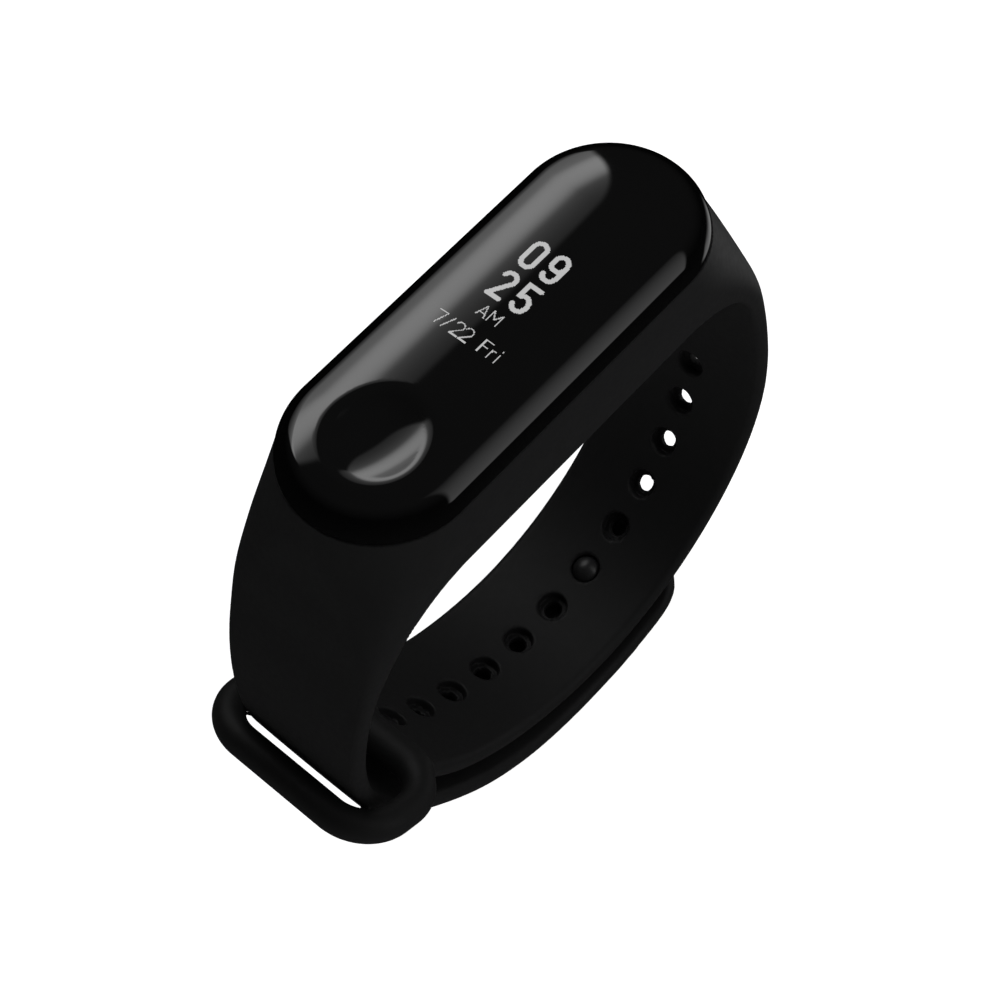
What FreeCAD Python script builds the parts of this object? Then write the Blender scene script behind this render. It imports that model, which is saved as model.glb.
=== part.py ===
import FreeCAD, Part
import math
import os
import Sketcher
from FreeCAD import Rotation, Vector

# Fitness tracker band, closed on itself: a domed capsule in the cradle of a one-piece silicone strap.
# X runs along the capsule, Y across the strap, Z up. Features are drawn about the centre of the
# capsule's widest outline, and every sub-part is then lifted so that the loop's lowest point is Z = 0.

SIZES = {
    "datum_x": 2.317, "datum_z": 60.85,
    # capsule: domed cover, display stack and frame
    "capsule_length": 46.9, "capsule_width": 17.9, "cover_wall": 1.25, "skirt_depth": 0.9,
    "crown_radius": 40.0, "crown_reach": 7.0, "edge_radius": 2.36, "window_level": 0.9,
    "dimple_x": -15.2, "dimple_reach": 5.3, "dimple_depth": 0.85,
    "adhesive_thickness": 0.15, "display_length": 21.0, "display_width": 13.4,
    "display_thickness": 1.2, "display_x": 3.2, "touch_radius": 4.0, "frame_length": 43.6,
    "frame_width": 14.6, "frame_low": -1.6, "frame_high": -0.6, "ribbon_thickness": 0.15,
    "ribbon_width": 6.0,
    # capsule: circuit board and what is soldered to it
    "board_length": 42.0, "board_width": 13.4, "board_low": -2.6, "board_high": -1.8,
    "battery_length": 24.0, "battery_width": 12.0, "battery_low": -7.3, "battery_high": -3.9,
    "battery_x": 4.4, "lead_width": 1.5, "lead_thickness": 0.2,
    # capsule: lower shell, seal, sensor and charging contacts
    "shell_length": 45.8, "shell_width": 16.8, "shell_top": -1.0, "shell_bottom": -9.05,
    "shell_wall": 0.8, "shell_round": 3.4, "sensor_radius": 4.2, "sensor_x": 1.0,
    "contact_radius": 1.1, "contact_x": 18.0, "contact_y": 2.6,
    # vibration motor
    "motor_x": -14.6, "motor_radius": 4.0, "motor_low": -7.0, "motor_high": -4.2,
    "motor_wall": 0.25, "motor_shaft_radius": 0.4, "motor_clearance": 0.06,
    # strap
    "strap_width": 16.8, "arm_width": 16.0, "tail_width": 17.4, "strap_thickness": 1.8,
    "tail_thickness": 1.9, "cradle_width": 19.4, "lip_length": 47.6, "lip_width": 18.6,
    "cradle_top": -1.0, "cradle_foot": -21.0, "foot_length": 56.0, "pocket_gap": 0.12,
    "hole_radius": 1.5, "hole_neck_radius": 1.05, "hole_recess": 1.0, "hole_pitch": 5.43,
    "first_hole": 33.95, "tail_tip_round": 6.5,
    "keeper_radius": 1.62, "keeper_width": 23.2, "keeper_reach": 10.5, "keeper_corner": 4.4,
    "keeper_tilt": 24.0, "keeper_trim": 8.0, "keeper_sink": 0.35,
    # closing stud
    "stud_head_radius": 1.5, "stud_shank_radius": 0.9, "stud_head_height": 1.25,
    "stud_cap_radius": 2.3, "stud_cap_height": 0.6,
}

# Inner faces of the two arms seen from the side: (radius, degrees turned) arcs, both starting level
# under the cradle. The hole arm turns right, the button arm left.
ARM_START_X = 14.5
ARM_START_Z = -8.2
HOLE_ARM_ARCS = [(10.5, -67.5), (44.0, -23.5), (25.0, -52.5), (22.5, -45.5), (30.0, -54.0)]
BUTTON_ARM_ARCS = [(10.5, 60.0), (34.5, 34.5), (23.5, 41.0), (40.5, 20.0), (29.5, 55.0)]
HOLE_COUNT = 12
HOLE_IN_USE = 5
HOLE_SIDE_REACH = 18.0
BUTTON_SIDE_REACH = 16.5
TAIL_START = 46.0
TAIL_HINGE = 58.0
TIP_HINGE = 75.0

doc = FreeCAD.newDocument("FitnessTrackerBand")
sheet = doc.addObject("Spreadsheet::Sheet", "Sizes")
for line, (alias, number) in enumerate(SIZES.items(), start=1):
    sheet.set(f"A{line}", alias)
    sheet.set(f"B{line}", str(number))
    sheet.setAlias(f"B{line}", alias)
doc.recompute()

finished = []


def size(alias):
    """The sheet's value for one alias."""
    return float(getattr(sheet, alias))


def expression(text):
    """Put the sheet's name before each alias in an expression."""
    words = []
    for word in text.split():
        words.append(f"Sizes.{word}" if word in SIZES else word)
    return " ".join(words)


def evaluate(text):
    """Work out an expression of aliases as a number."""
    return float(sheet.evalExpression(expression(text)))


def bind(item, **properties):
    """Bind properties, named with __ for a dot, to expressions of the sheet's aliases."""
    for name, text in properties.items():
        item.setExpression(name.replace("__", "."), expression(str(text)))
    return item


def finish(item, label):
    """Name a finished sub-part and lift it from the capsule's datum to the band's own frame."""
    item.Label = label
    own = {path.lstrip("."): text for path, text in item.ExpressionEngine}
    for axis in "xz":
        place = f"Placement.Base.{axis}"
        start = f"{own[place]} + " if place in own else ""
        item.setExpression(place, f"{start}Sizes.datum_{axis}")
    finished.append(item)
    return item


# ---------------------------------------------------------------- building blocks

def plane(body, role):
    """One of a body's own origin planes."""
    for feature in body.Origin.OriginFeatures:
        if feature.Role == role:
            return feature


def sketch_on(body, role, name, offset="0"):
    """An empty sketch on an origin plane of the body, moved along the plane's normal."""
    sketch = body.newObject("Sketcher::SketchObject", name)
    sketch.AttachmentSupport = [(plane(body, role), "")]
    sketch.MapMode = "FlatFace"
    bind(sketch, AttachmentOffset__Base__z=offset)
    return sketch


def slot_sketch(body, length, width, level, middle="0"):
    """A slot outline, two straights and two half circles, lying level."""
    sketch = sketch_on(body, "XY_Plane", "SlotOutline", level)
    radius = evaluate(width) / 2
    reach = evaluate(length) / 2 - radius
    centre = evaluate(middle)
    right = Vector(centre + reach, 0, 0)
    left = Vector(centre - reach, 0, 0)
    up = Vector(0, radius, 0)
    quarter = math.pi / 2
    far = sketch.addGeometry(Part.LineSegment(left + up, right + up))
    east = sketch.addGeometry(
        Part.ArcOfCircle(Part.Circle(right, Vector(0, 0, 1), radius), -quarter, quarter))
    near = sketch.addGeometry(Part.LineSegment(right - up, left - up))
    west = sketch.addGeometry(
        Part.ArcOfCircle(Part.Circle(left, Vector(0, 0, 1), radius), quarter, 3 * quarter))
    for first, first_end, second, second_end in (
            (far, 2, east, 2), (east, 1, near, 1), (near, 2, west, 2), (west, 1, far, 1)):
        sketch.addConstraint(Sketcher.Constraint("Tangent", first, first_end, second, second_end))
    sketch.addConstraint(Sketcher.Constraint("Horizontal", far))
    sketch.addConstraint(Sketcher.Constraint("PointOnObject", east, 3, -1))
    sketch.addConstraint(Sketcher.Constraint("PointOnObject", west, 3, -1))
    sketch.addConstraint(Sketcher.Constraint("DistanceX", -1, 1, east, 3, right.x))
    sketch.renameConstraint(sketch.ConstraintCount - 1, "east_centre")
    sketch.addConstraint(Sketcher.Constraint("DistanceX", west, 3, east, 3, 2 * reach))
    sketch.renameConstraint(sketch.ConstraintCount - 1, "straight")
    sketch.addConstraint(Sketcher.Constraint("Radius", east, radius))
    sketch.renameConstraint(sketch.ConstraintCount - 1, "end_radius")
    bind(sketch, Constraints__east_centre=f"{middle} + ( {length} - ( {width} ) ) / 2",
         Constraints__straight=f"{length} - ( {width} )", Constraints__end_radius=f"( {width} ) / 2")
    return sketch


def new_body(name):
    return doc.addObject("PartDesign::Body", name)


def slot_pad(body, length, width, low, high, middle="0"):
    """A slot-shaped block from one level up to another."""
    pad = body.newObject("PartDesign::Pad", "SlotPad")
    pad.Profile = slot_sketch(body, length, width, low, middle)
    bind(pad, Length=f"( {high} ) - ( {low} )")
    doc.recompute()
    return pad


def slot_pocket(body, length, width, low, high, middle="0"):
    """Cut a slot-shaped pocket from the upper level down to the lower one."""
    before = body.Shape.Volume
    pocket = body.newObject("PartDesign::Pocket", "SlotPocket")
    pocket.Profile = slot_sketch(body, length, width, high, middle)
    bind(pocket, Length=f"( {high} ) - ( {low} )")
    doc.recompute()
    if body.Shape.Volume > before - 0.01:
        raise RuntimeError(f"{body.Name}: the pocket cuts nothing")
    return pocket


def round_edges(body, radius, chosen):
    """Fillet the edges of the body's tip for which chosen(edge) is true."""
    tip = body.Tip
    names = [f"Edge{k}" for k, edge in enumerate(tip.Shape.Edges, start=1) if chosen(edge)]
    fillet = body.newObject("PartDesign::Fillet", "Rounding")
    fillet.Base = (tip, names)
    bind(fillet, Radius=radius)
    doc.recompute()
    return fillet


def at_level(level):
    """True for edges that lie flat at a level."""
    height = evaluate(level)

    def lies_there(edge):
        box = edge.BoundBox
        return abs(box.ZMin - height) < 1e-4 and abs(box.ZMax - height) < 1e-4
    return lies_there


def block(name, x, y, low, length, width, height):
    """A box centred on x and y, standing on a level."""
    box = doc.addObject("Part::Box", name)
    bind(box, Length=length, Width=width, Height=height,
         Placement__Base__x=f"{x} - ( {length} ) / 2", Placement__Base__y=f"{y} - ( {width} ) / 2",
         Placement__Base__z=low)
    return box


def disc(name, x, y, low, radius, height, angle=360):
    """An upright cylinder, or a sector of one, standing on a level."""
    cylinder = doc.addObject("Part::Cylinder", name)
    bind(cylinder, Radius=radius, Height=height, Placement__Base__x=x, Placement__Base__y=y,
         Placement__Base__z=low)
    cylinder.Angle = angle
    return cylinder


def cut(name, base, tool):
    result = doc.addObject("Part::Cut", name)
    result.Base = base
    result.Tool = tool
    return result


def fuse(name, items):
    result = doc.addObject("Part::MultiFuse", name)
    result.Shapes = items
    return result


def group(name, items):
    """Separate solids that share one node."""
    result = doc.addObject("Part::Compound", name)
    result.Links = items
    return result


# ---------------------------------------------------------------- capsule cover

def dome_profile(sketch, whole):
    """Section of the domed cover: gentle crown, rounded edge, short skirt; whole or one half."""
    reach = size("crown_reach")
    crown = size("crown_radius")
    edge = size("edge_radius")
    rim = size("capsule_width") / 2
    skirt = -size("skirt_depth")
    slope = math.asin(reach / crown)
    edge_centre = Vector(rim - edge, 0, 0)
    shoulder = edge_centre + Vector(edge * math.sin(slope), edge * math.cos(slope), 0)
    crown_centre = shoulder - Vector(crown * math.sin(slope), crown * math.cos(slope), 0)
    top = Vector(0, crown_centre.y + crown, 0)
    halfway = (slope + math.pi / 2) / 2
    bend = edge_centre + Vector(edge * math.sin(halfway), edge * math.cos(halfway), 0)
    foot = Vector(rim, skirt, 0)

    def mirrored(point):
        return Vector(-point.x, point.y, 0)

    side = [Part.Arc(shoulder, bend, Vector(rim, 0, 0)), Part.LineSegment(Vector(rim, 0, 0), foot)]
    if whole:
        sketch.addGeometry(Part.Arc(mirrored(shoulder), top, shoulder))
        sketch.addGeometry(side)
        sketch.addGeometry(Part.Arc(mirrored(shoulder), mirrored(bend), mirrored(Vector(rim, 0, 0))))
        sketch.addGeometry(Part.LineSegment(mirrored(Vector(rim, 0, 0)), mirrored(foot)))
        sketch.addGeometry(Part.LineSegment(mirrored(foot), foot))
    else:
        quarter = crown_centre + Vector(crown * math.sin(slope / 2), crown * math.cos(slope / 2), 0)
        sketch.addGeometry(Part.Arc(top, quarter, shoulder))
        sketch.addGeometry(side)
        sketch.addGeometry(Part.LineSegment(foot, Vector(0, skirt, 0)))
        sketch.addGeometry(Part.LineSegment(Vector(0, skirt, 0), top))
    return top.y


def make_cover():
    """Glossy domed cover with a concave touch dimple and a pocket for the display below."""
    body = new_body("Cover")
    section = sketch_on(body, "YZ_Plane", "CrownSection")
    height = dome_profile(section, True)
    pad = body.newObject("PartDesign::Pad", "CrownPad")
    pad.Profile = section
    pad.SideType = "Symmetric"
    bind(pad, Length="capsule_length - capsule_width")
    doc.recompute()
    half = sketch_on(body, "YZ_Plane", "EndSection", "( capsule_length - capsule_width ) / 2")
    dome_profile(half, False)
    end = body.newObject("PartDesign::Revolution", "RoundEnd")
    end.Profile = half
    end.ReferenceAxis = (half, ["V_Axis"])
    end.Angle = 180
    doc.recompute()
    if end.Shape.BoundBox.XMax < size("capsule_length") / 2 - 0.01:
        end.Reversed = True
        doc.recompute()
    mirror = body.newObject("PartDesign::Mirrored", "OtherEnd")
    mirror.Originals = [end]
    mirror.MirrorPlane = (plane(body, "YZ_Plane"), [""])
    body.Tip = mirror
    doc.recompute()
    slot_pocket(body, "capsule_length - 2 * cover_wall", "capsule_width - 2 * cover_wall",
                "0 - skirt_depth", "0", "0")
    slot_pocket(body, "capsule_length - 2 * cover_wall - 1.2", "capsule_width - 2 * cover_wall - 1.2",
                "0", "window_level", "0")
    reach = size("dimple_reach")
    depth = size("dimple_depth")
    radius = (reach ** 2 + depth ** 2) / (2 * depth)
    dimple = body.newObject("PartDesign::SubtractiveSphere", "TouchDimple")
    dimple.Radius = radius
    dimple.Placement = FreeCAD.Placement(
        Vector(size("dimple_x"), 0, height - depth + radius), Rotation())
    doc.recompute()
    finish(body, "cover_lens")
    return height


# ---------------------------------------------------------------- display and frame

def make_display():
    """Display glass under the cover with its adhesive, lit area, touch pad and ribbon."""
    below_window = "window_level - adhesive_thickness"
    panel_low = f"{below_window} - display_thickness"
    finish(block("PanelGlass", "display_x", "0", panel_low, "display_length", "display_width",
                 "display_thickness"), "display_panel")
    finish(block("Adhesive", "display_x", "0", below_window, "display_length", "display_width",
                 "adhesive_thickness"), "display_adhesive")
    finish(disc("TouchPad", "dimple_x", "0", below_window, "touch_radius", "adhesive_thickness"),
           "touch_pad")

    # ribbon: off the panel's end, round, and back on to the board
    body = new_body("DisplayRibbon")
    sketch = sketch_on(body, "XZ_Plane", "RibbonSide")
    thin = size("ribbon_thickness")
    edge = size("display_x") + size("display_length") / 2
    top = evaluate(panel_low)
    board = size("board_high")
    middle = (top + board) / 2
    outer = (top - board) / 2
    inner = outer - thin
    bend = edge + 1.2
    back = edge - 1.5
    sketch.addGeometry(Part.LineSegment(Vector(back, top, 0), Vector(bend, top, 0)))
    sketch.addGeometry(Part.Arc(Vector(bend, top, 0), Vector(bend + outer, middle, 0),
                                Vector(bend, board, 0)))
    sketch.addGeometry(Part.LineSegment(Vector(bend, board, 0), Vector(back, board, 0)))
    sketch.addGeometry(Part.LineSegment(Vector(back, board, 0), Vector(back, board + thin, 0)))
    sketch.addGeometry(Part.LineSegment(Vector(back, board + thin, 0), Vector(bend, board + thin, 0)))
    sketch.addGeometry(Part.Arc(Vector(bend, board + thin, 0), Vector(bend + inner, middle, 0),
                                Vector(bend, top - thin, 0)))
    sketch.addGeometry(Part.LineSegment(Vector(bend, top - thin, 0), Vector(back, top - thin, 0)))
    sketch.addGeometry(Part.LineSegment(Vector(back, top - thin, 0), Vector(back, top, 0)))
    pad = body.newObject("PartDesign::Pad", "RibbonWidth")
    pad.Profile = sketch
    pad.SideType = "Symmetric"
    bind(pad, Length="ribbon_width")
    doc.recompute()
    finish(body, "display_ribbon")


def make_frame():
    """Inner frame between the display and the board, open in the middle and round the ribbon."""
    body = new_body("InnerFrame")
    slot_pad(body, "frame_length", "frame_width", "frame_low", "frame_high")
    slot_pocket(body, "frame_length - 3.2", "frame_width - 3.2", "frame_low", "frame_high")
    finish(body, "inner_frame")


# ---------------------------------------------------------------- board and chips

def make_board():
    """Main circuit board with its chips, shield, antenna and small parts."""
    body = new_body("MainBoard")
    slot_pad(body, "board_length", "board_width", "board_low", "board_high")
    round_edges(body, "0.1", at_level("board_low"))
    finish(body, "main_board")

    chips = (("radio_shield", 9.0, 1.2, 8.2, 8.6, 0.9), ("bluetooth_chip", -1.2, 2.6, 5.0, 5.0, 0.8),
             ("flash_chip", -1.4, -3.4, 4.0, 3.0, 0.6), ("motion_sensor_chip", -7.0, 3.0, 2.5, 3.0, 0.8),
             ("touch_controller_chip", -7.2, -2.6, 3.0, 3.0, 0.6))
    for label, x, y, length, width, height in chips:
        chip = block(label.title().replace("_", ""), str(x), str(y), f"board_low - {height}",
                     str(length), str(width), str(height))
        if label == "radio_shield":
            inside = block("ShieldInside", str(x), str(y), f"board_low - {height} + 0.15",
                           f"{length} - 0.3", f"{width} - 0.3", str(height))
            chip = cut("ShieldCan", chip, inside)
        finish(chip, label)

    small = []
    for row in range(2):
        for column in range(6):
            x = -12.6 + 1.5 * column + 0.4 * row
            small.append(block(f"Passive{row}{column}", str(x), str(-5.6 + 11.0 * row),
                               "board_low - 0.4", "0.9", "0.45", "0.4"))
    finish(group("PassiveParts", small), "board_passives")

    outer = disc("AntennaOuter", "14.3", "0", "board_low - 0.9", "6.5", "0.9")
    hollow = disc("AntennaInner", "14.3", "0", "board_low - 1.0", "5.7", "1.1")
    ring = cut("AntennaRing", outer, hollow)
    half = block("AntennaHalf", "10.8", "0", "board_low - 1.0", "10.0", "14.0", "1.2")
    finish(cut("AntennaStrip", ring, half), "bluetooth_antenna")


def make_battery():
    """Pouch cell with its protection board and two leads up to the main board."""
    body = new_body("BatteryPouch")
    sketch = sketch_on(body, "XY_Plane", "PouchOutline", "battery_low")
    half_length = size("battery_length") / 2
    half_width = size("battery_width") / 2
    middle = size("battery_x")
    corners = [Vector(middle + sx * half_length, sy * half_width, 0)
               for sx, sy in ((-1, -1), (1, -1), (1, 1), (-1, 1))]
    for k in range(4):
        sketch.addGeometry(Part.LineSegment(corners[k], corners[(k + 1) % 4]))
    pad = body.newObject("PartDesign::Pad", "PouchPad")
    pad.Profile = sketch
    bind(pad, Length="battery_high - battery_low")
    doc.recompute()
    long_side = size("battery_length") - 1
    round_edges(body, "1.1", lambda edge: edge.Length > long_side)
    finish(body, "battery")

    end = "battery_x + battery_length / 2"
    finish(block("Protection", f"{end} + 0.5", "0", "battery_low + 0.6", "1.0", "9.0", "2.2"),
           "battery_protection_board")
    leads = []
    for sign in (-1, 1):
        leads.append(block(f"Lead{sign + 1}", f"{end} + 0.8", f"{sign * 2.4}", "battery_low + 2.8",
                           "lead_thickness", "lead_width", "board_low - battery_low - 2.8"))
    finish(group("BatteryLeads", leads), "battery_leads")


# ---------------------------------------------------------------- vibration motor

def make_motor():
    """Coin vibration motor: can, base plate, fixed shaft and an off-centre rotor."""
    inner_radius = "motor_radius - motor_wall"
    base_top = "motor_low + motor_wall"
    can = disc("CanOutside", "motor_x", "0", base_top, "motor_radius",
               f"motor_high - ( {base_top} )")
    hollow = disc("CanInside", "motor_x", "0", base_top, inner_radius,
                  f"motor_high - motor_wall - ( {base_top} )")
    finish(cut("MotorCan", can, hollow), "motor_can")
    finish(disc("MotorBase", "motor_x", "0", "motor_low", "motor_radius", "motor_wall"), "motor_base")
    finish(disc("MotorShaft", "motor_x", "0", base_top, "motor_shaft_radius",
                f"motor_high - motor_wall - ( {base_top} )"), "motor_shaft")
    clearance = "motor_shaft_radius + motor_clearance"
    plate = disc("RotorPlate", "motor_x", "0", "motor_low + 1.5", "motor_radius - 0.6", "0.6")
    plate_bore = disc("RotorBore", "motor_x", "0", "motor_low + 1.4", clearance, "0.8")
    finish(cut("RotorDisc", plate, plate_bore), "motor_rotor")
    half_disc = disc("WeightOutside", "motor_x", "0", "motor_low + 0.6", "motor_radius - 0.6", "0.9",
                     180)
    hub = disc("WeightInside", "motor_x", "0", "motor_low + 0.5", "1.4", "1.1")
    finish(cut("RotorWeight", half_disc, hub), "motor_eccentric_weight")
    finish(disc("MotorPad", "motor_x", "0", "shell_bottom + shell_wall", "motor_radius - 0.8",
                "motor_low - shell_bottom - shell_wall"), "motor_foam_pad")


# ---------------------------------------------------------------- lower shell and sensor

def make_shell():
    """Lower shell, a rounded tub with openings for the sensor window and charging contacts."""
    body = new_body("LowerShell")
    slot_pad(body, "shell_length", "shell_width", "shell_bottom", "shell_top")
    round_edges(body, "shell_round", at_level("shell_bottom"))
    tub = new_body("ShellInside")
    slot_pad(tub, "shell_length - 2 * shell_wall", "shell_width - 2 * shell_wall",
             "shell_bottom + shell_wall", "shell_top + 0.5")
    round_edges(tub, "shell_round - shell_wall", at_level("shell_bottom + shell_wall"))
    window = disc("WindowOpening", "sensor_x", "0", "shell_bottom - 1", "sensor_radius", "3")
    contacts = [disc(f"ContactHole{sign + 1}", "contact_x", f"{sign} * contact_y", "shell_bottom - 1",
                     "contact_radius", "3") for sign in (-1, 1)]
    openings = fuse("ShellOpenings", [tub, window] + contacts)
    finish(cut("LowerShellTub", body, openings), "lower_shell")

    seal = new_body("CoverSeal")
    slot_pad(seal, "shell_length - 0.1", "shell_width - 0.1", "shell_top", "0 - skirt_depth")
    slot_pocket(seal, "shell_length - 1.5", "shell_width - 1.5", "shell_top", "0 - skirt_depth")
    finish(seal, "cover_seal")


def make_sensor():
    """Heart-rate sensor: window, board, light source, light sensor and its ribbon."""
    lens = new_body("SensorWindow")
    circle = sketch_on(lens, "XY_Plane", "WindowOutline", "shell_bottom")
    circle.addGeometry(Part.Circle(Vector(size("sensor_x"), 0, 0), Vector(0, 0, 1),
                                   size("sensor_radius")))
    circle.addConstraint(Sketcher.Constraint("Radius", 0, size("sensor_radius")))
    circle.renameConstraint(0, "window_radius")
    bind(circle, Constraints__window_radius="sensor_radius")
    pad = lens.newObject("PartDesign::Pad", "WindowPad")
    pad.Profile = circle
    bind(pad, Length="shell_wall - 0.1")
    doc.recompute()
    round_edges(lens, "0.25", at_level("shell_bottom"))
    finish(lens, "sensor_window")
    board_low = "shell_bottom + shell_wall + 0.35"
    finish(disc("SensorBoard", "sensor_x", "0", board_low, "4.6", "0.35"), "sensor_board")
    finish(block("LightSource", "sensor_x - 1.9", "0", "shell_bottom + shell_wall - 0.1", "1.6", "1.6",
                 "0.45"), "heart_rate_led")
    finish(block("LightSensor", "sensor_x + 1.5", "0", "shell_bottom + shell_wall - 0.1", "2.4", "2.4",
                 "0.45"), "heart_rate_photodiode")
    ribbon = block("SensorRibbonUp", "0 - 9.2", "0", board_low, "ribbon_thickness", "4.0",
                   f"board_low - ( {board_low} )")
    foot = block("SensorRibbonFoot", "0 - 6.4", "0", board_low, "5.6", "4.0", "ribbon_thickness")
    foot_trim = disc("SensorRibbonTrim", "sensor_x", "0", "shell_bottom", "4.6", "3")
    finish(cut("SensorRibbonFree", fuse("SensorRibbon", [ribbon, foot]), foot_trim), "sensor_ribbon")

    pads = [disc(f"Contact{sign + 1}", "contact_x", f"{sign} * contact_y", "shell_bottom + 0.15",
                 "contact_radius", "1.6") for sign in (-1, 1)]
    finish(group("ChargingContacts", pads), "charging_contacts")


# ---------------------------------------------------------------- strap

def arm_points(arcs, direction):
    """Corners of an arm's inner face: list of (distance, x, z, heading), one per arc joint."""
    x = direction * ARM_START_X
    z = ARM_START_Z
    heading = 0.0 if direction > 0 else math.pi
    distance = 0.0
    corners = [(distance, x, z, heading)]
    for radius, turn in arcs:
        angle = math.radians(turn)
        side = math.copysign(1.0, angle)
        x += side * radius * (math.sin(heading + angle) - math.sin(heading))
        z -= side * radius * (math.cos(heading + angle) - math.cos(heading))
        heading += angle
        distance += radius * abs(angle)
        corners.append((distance, x, z, heading))
    return corners


class ArmCurve:
    """An arm's inner face as tangent arcs in the XZ plane; depth is measured outwards from it."""

    def __init__(self, arcs, direction):
        self.arcs = arcs
        self.corners = arm_points(arcs, direction)
        self.side = -1.0 if direction > 0 else 1.0
        self.length = self.corners[-1][0]

    def at(self, distance, depth=0.0):
        """Point and heading at a distance along the inner face and a depth outside it."""
        for (start, x, z, heading), (radius, turn) in zip(self.corners, self.arcs):
            last = start + radius * abs(math.radians(turn))
            if distance <= last or (radius, turn) == self.arcs[-1]:
                turned = self.side * (distance - start) / radius
                px = x + self.side * radius * (math.sin(heading + turned) - math.sin(heading))
                pz = z - self.side * radius * (math.cos(heading + turned) - math.cos(heading))
                now = heading + turned
                outward = self.outward(now)
                return Vector(px + depth * outward.x, pz + depth * outward.y, 0), now
        raise ValueError("distance is past the arm's end")

    def outward(self, heading):
        """Unit vector pointing away from the inside of the loop, in the plane (x, z)."""
        return Vector(self.side * math.sin(heading), -self.side * math.cos(heading), 0)

    def breaks(self, first, last):
        """Distances from first to last, with every arc joint between them."""
        inner = [corner[0] for corner in self.corners if first + 1e-6 < corner[0] < last - 1e-6]
        return [first] + inner + [last]

    def draw_face(self, sketch, first, last, depth):
        """The arcs of one face from one distance to another, depth outside the inner face."""
        stops = self.breaks(first, last)
        for start, stop in zip(stops[:-1], stops[1:]):
            points = [self.at(d, depth)[0] for d in (start, (start + stop) / 2, stop)]
            sketch.addGeometry(Part.Arc(*points))

    def draw(self, sketch, first, last, depth):
        """Outline of the arm from one distance to another, depth thick."""
        self.draw_face(sketch, first, last, 0.0)
        self.draw_face(sketch, first, last, depth)
        for distance in (first, last):
            sketch.addGeometry(Part.LineSegment(self.at(distance)[0], self.at(distance, depth)[0]))


hole_arm = ArmCurve(HOLE_ARM_ARCS, 1)
button_arm = ArmCurve(BUTTON_ARM_ARCS, -1)


def band_body(name, curve, first, last, thickness, width):
    """A stretch of strap: its side outline padded to both sides of the middle."""
    body = new_body(name)
    sketch = sketch_on(body, "XZ_Plane", "SideOutline")
    curve.draw(sketch, first, last, size(thickness))
    pad = body.newObject("PartDesign::Pad", "StrapWidth")
    pad.Profile = sketch
    pad.SideType = "Symmetric"
    bind(pad, Length=width)
    doc.recompute()
    return body


def across(name, curve, distance, low, high, radius):
    """A cylinder square to the strap's inner face, between two depths."""
    point, heading = curve.at(distance, low)
    outward = curve.outward(heading)
    rod = doc.addObject("Part::Cylinder", name)
    bind(rod, Radius=radius)
    rod.Height = high - low
    axis = Vector(outward.x, 0, outward.y)
    rod.Placement = FreeCAD.Placement(Vector(point.x, 0, point.y), Rotation(Vector(0, 0, 1), axis))
    return rod


def rounded_outline(body, length, width, corner, level):
    """A level rounded rectangle, the same eight edges at every size so that a loft can join them."""
    sketch = sketch_on(body, "XY_Plane", "CradleOutline", level)
    along = evaluate(length) / 2
    across_half = evaluate(width) / 2
    radius = evaluate(corner)
    quarter = math.pi / 2
    for turn, (sx, sy) in enumerate(((1, 1), (-1, 1), (-1, -1), (1, -1))):
        centre = Vector(sx * (along - radius), sy * (across_half - radius), 0)
        circle = Part.Circle(centre, Vector(0, 0, 1), radius)
        sketch.addGeometry(Part.ArcOfCircle(circle, turn * quarter, (turn + 1) * quarter))
    sketch.addGeometry(Part.LineSegment(Vector(along - radius, across_half, 0),
                                        Vector(radius - along, across_half, 0)))
    sketch.addGeometry(Part.LineSegment(Vector(-along, across_half - radius, 0),
                                        Vector(-along, radius - across_half, 0)))
    sketch.addGeometry(Part.LineSegment(Vector(radius - along, -across_half, 0),
                                        Vector(along - radius, -across_half, 0)))
    sketch.addGeometry(Part.LineSegment(Vector(along, radius - across_half, 0),
                                        Vector(along, across_half - radius, 0)))
    return sketch


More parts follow.
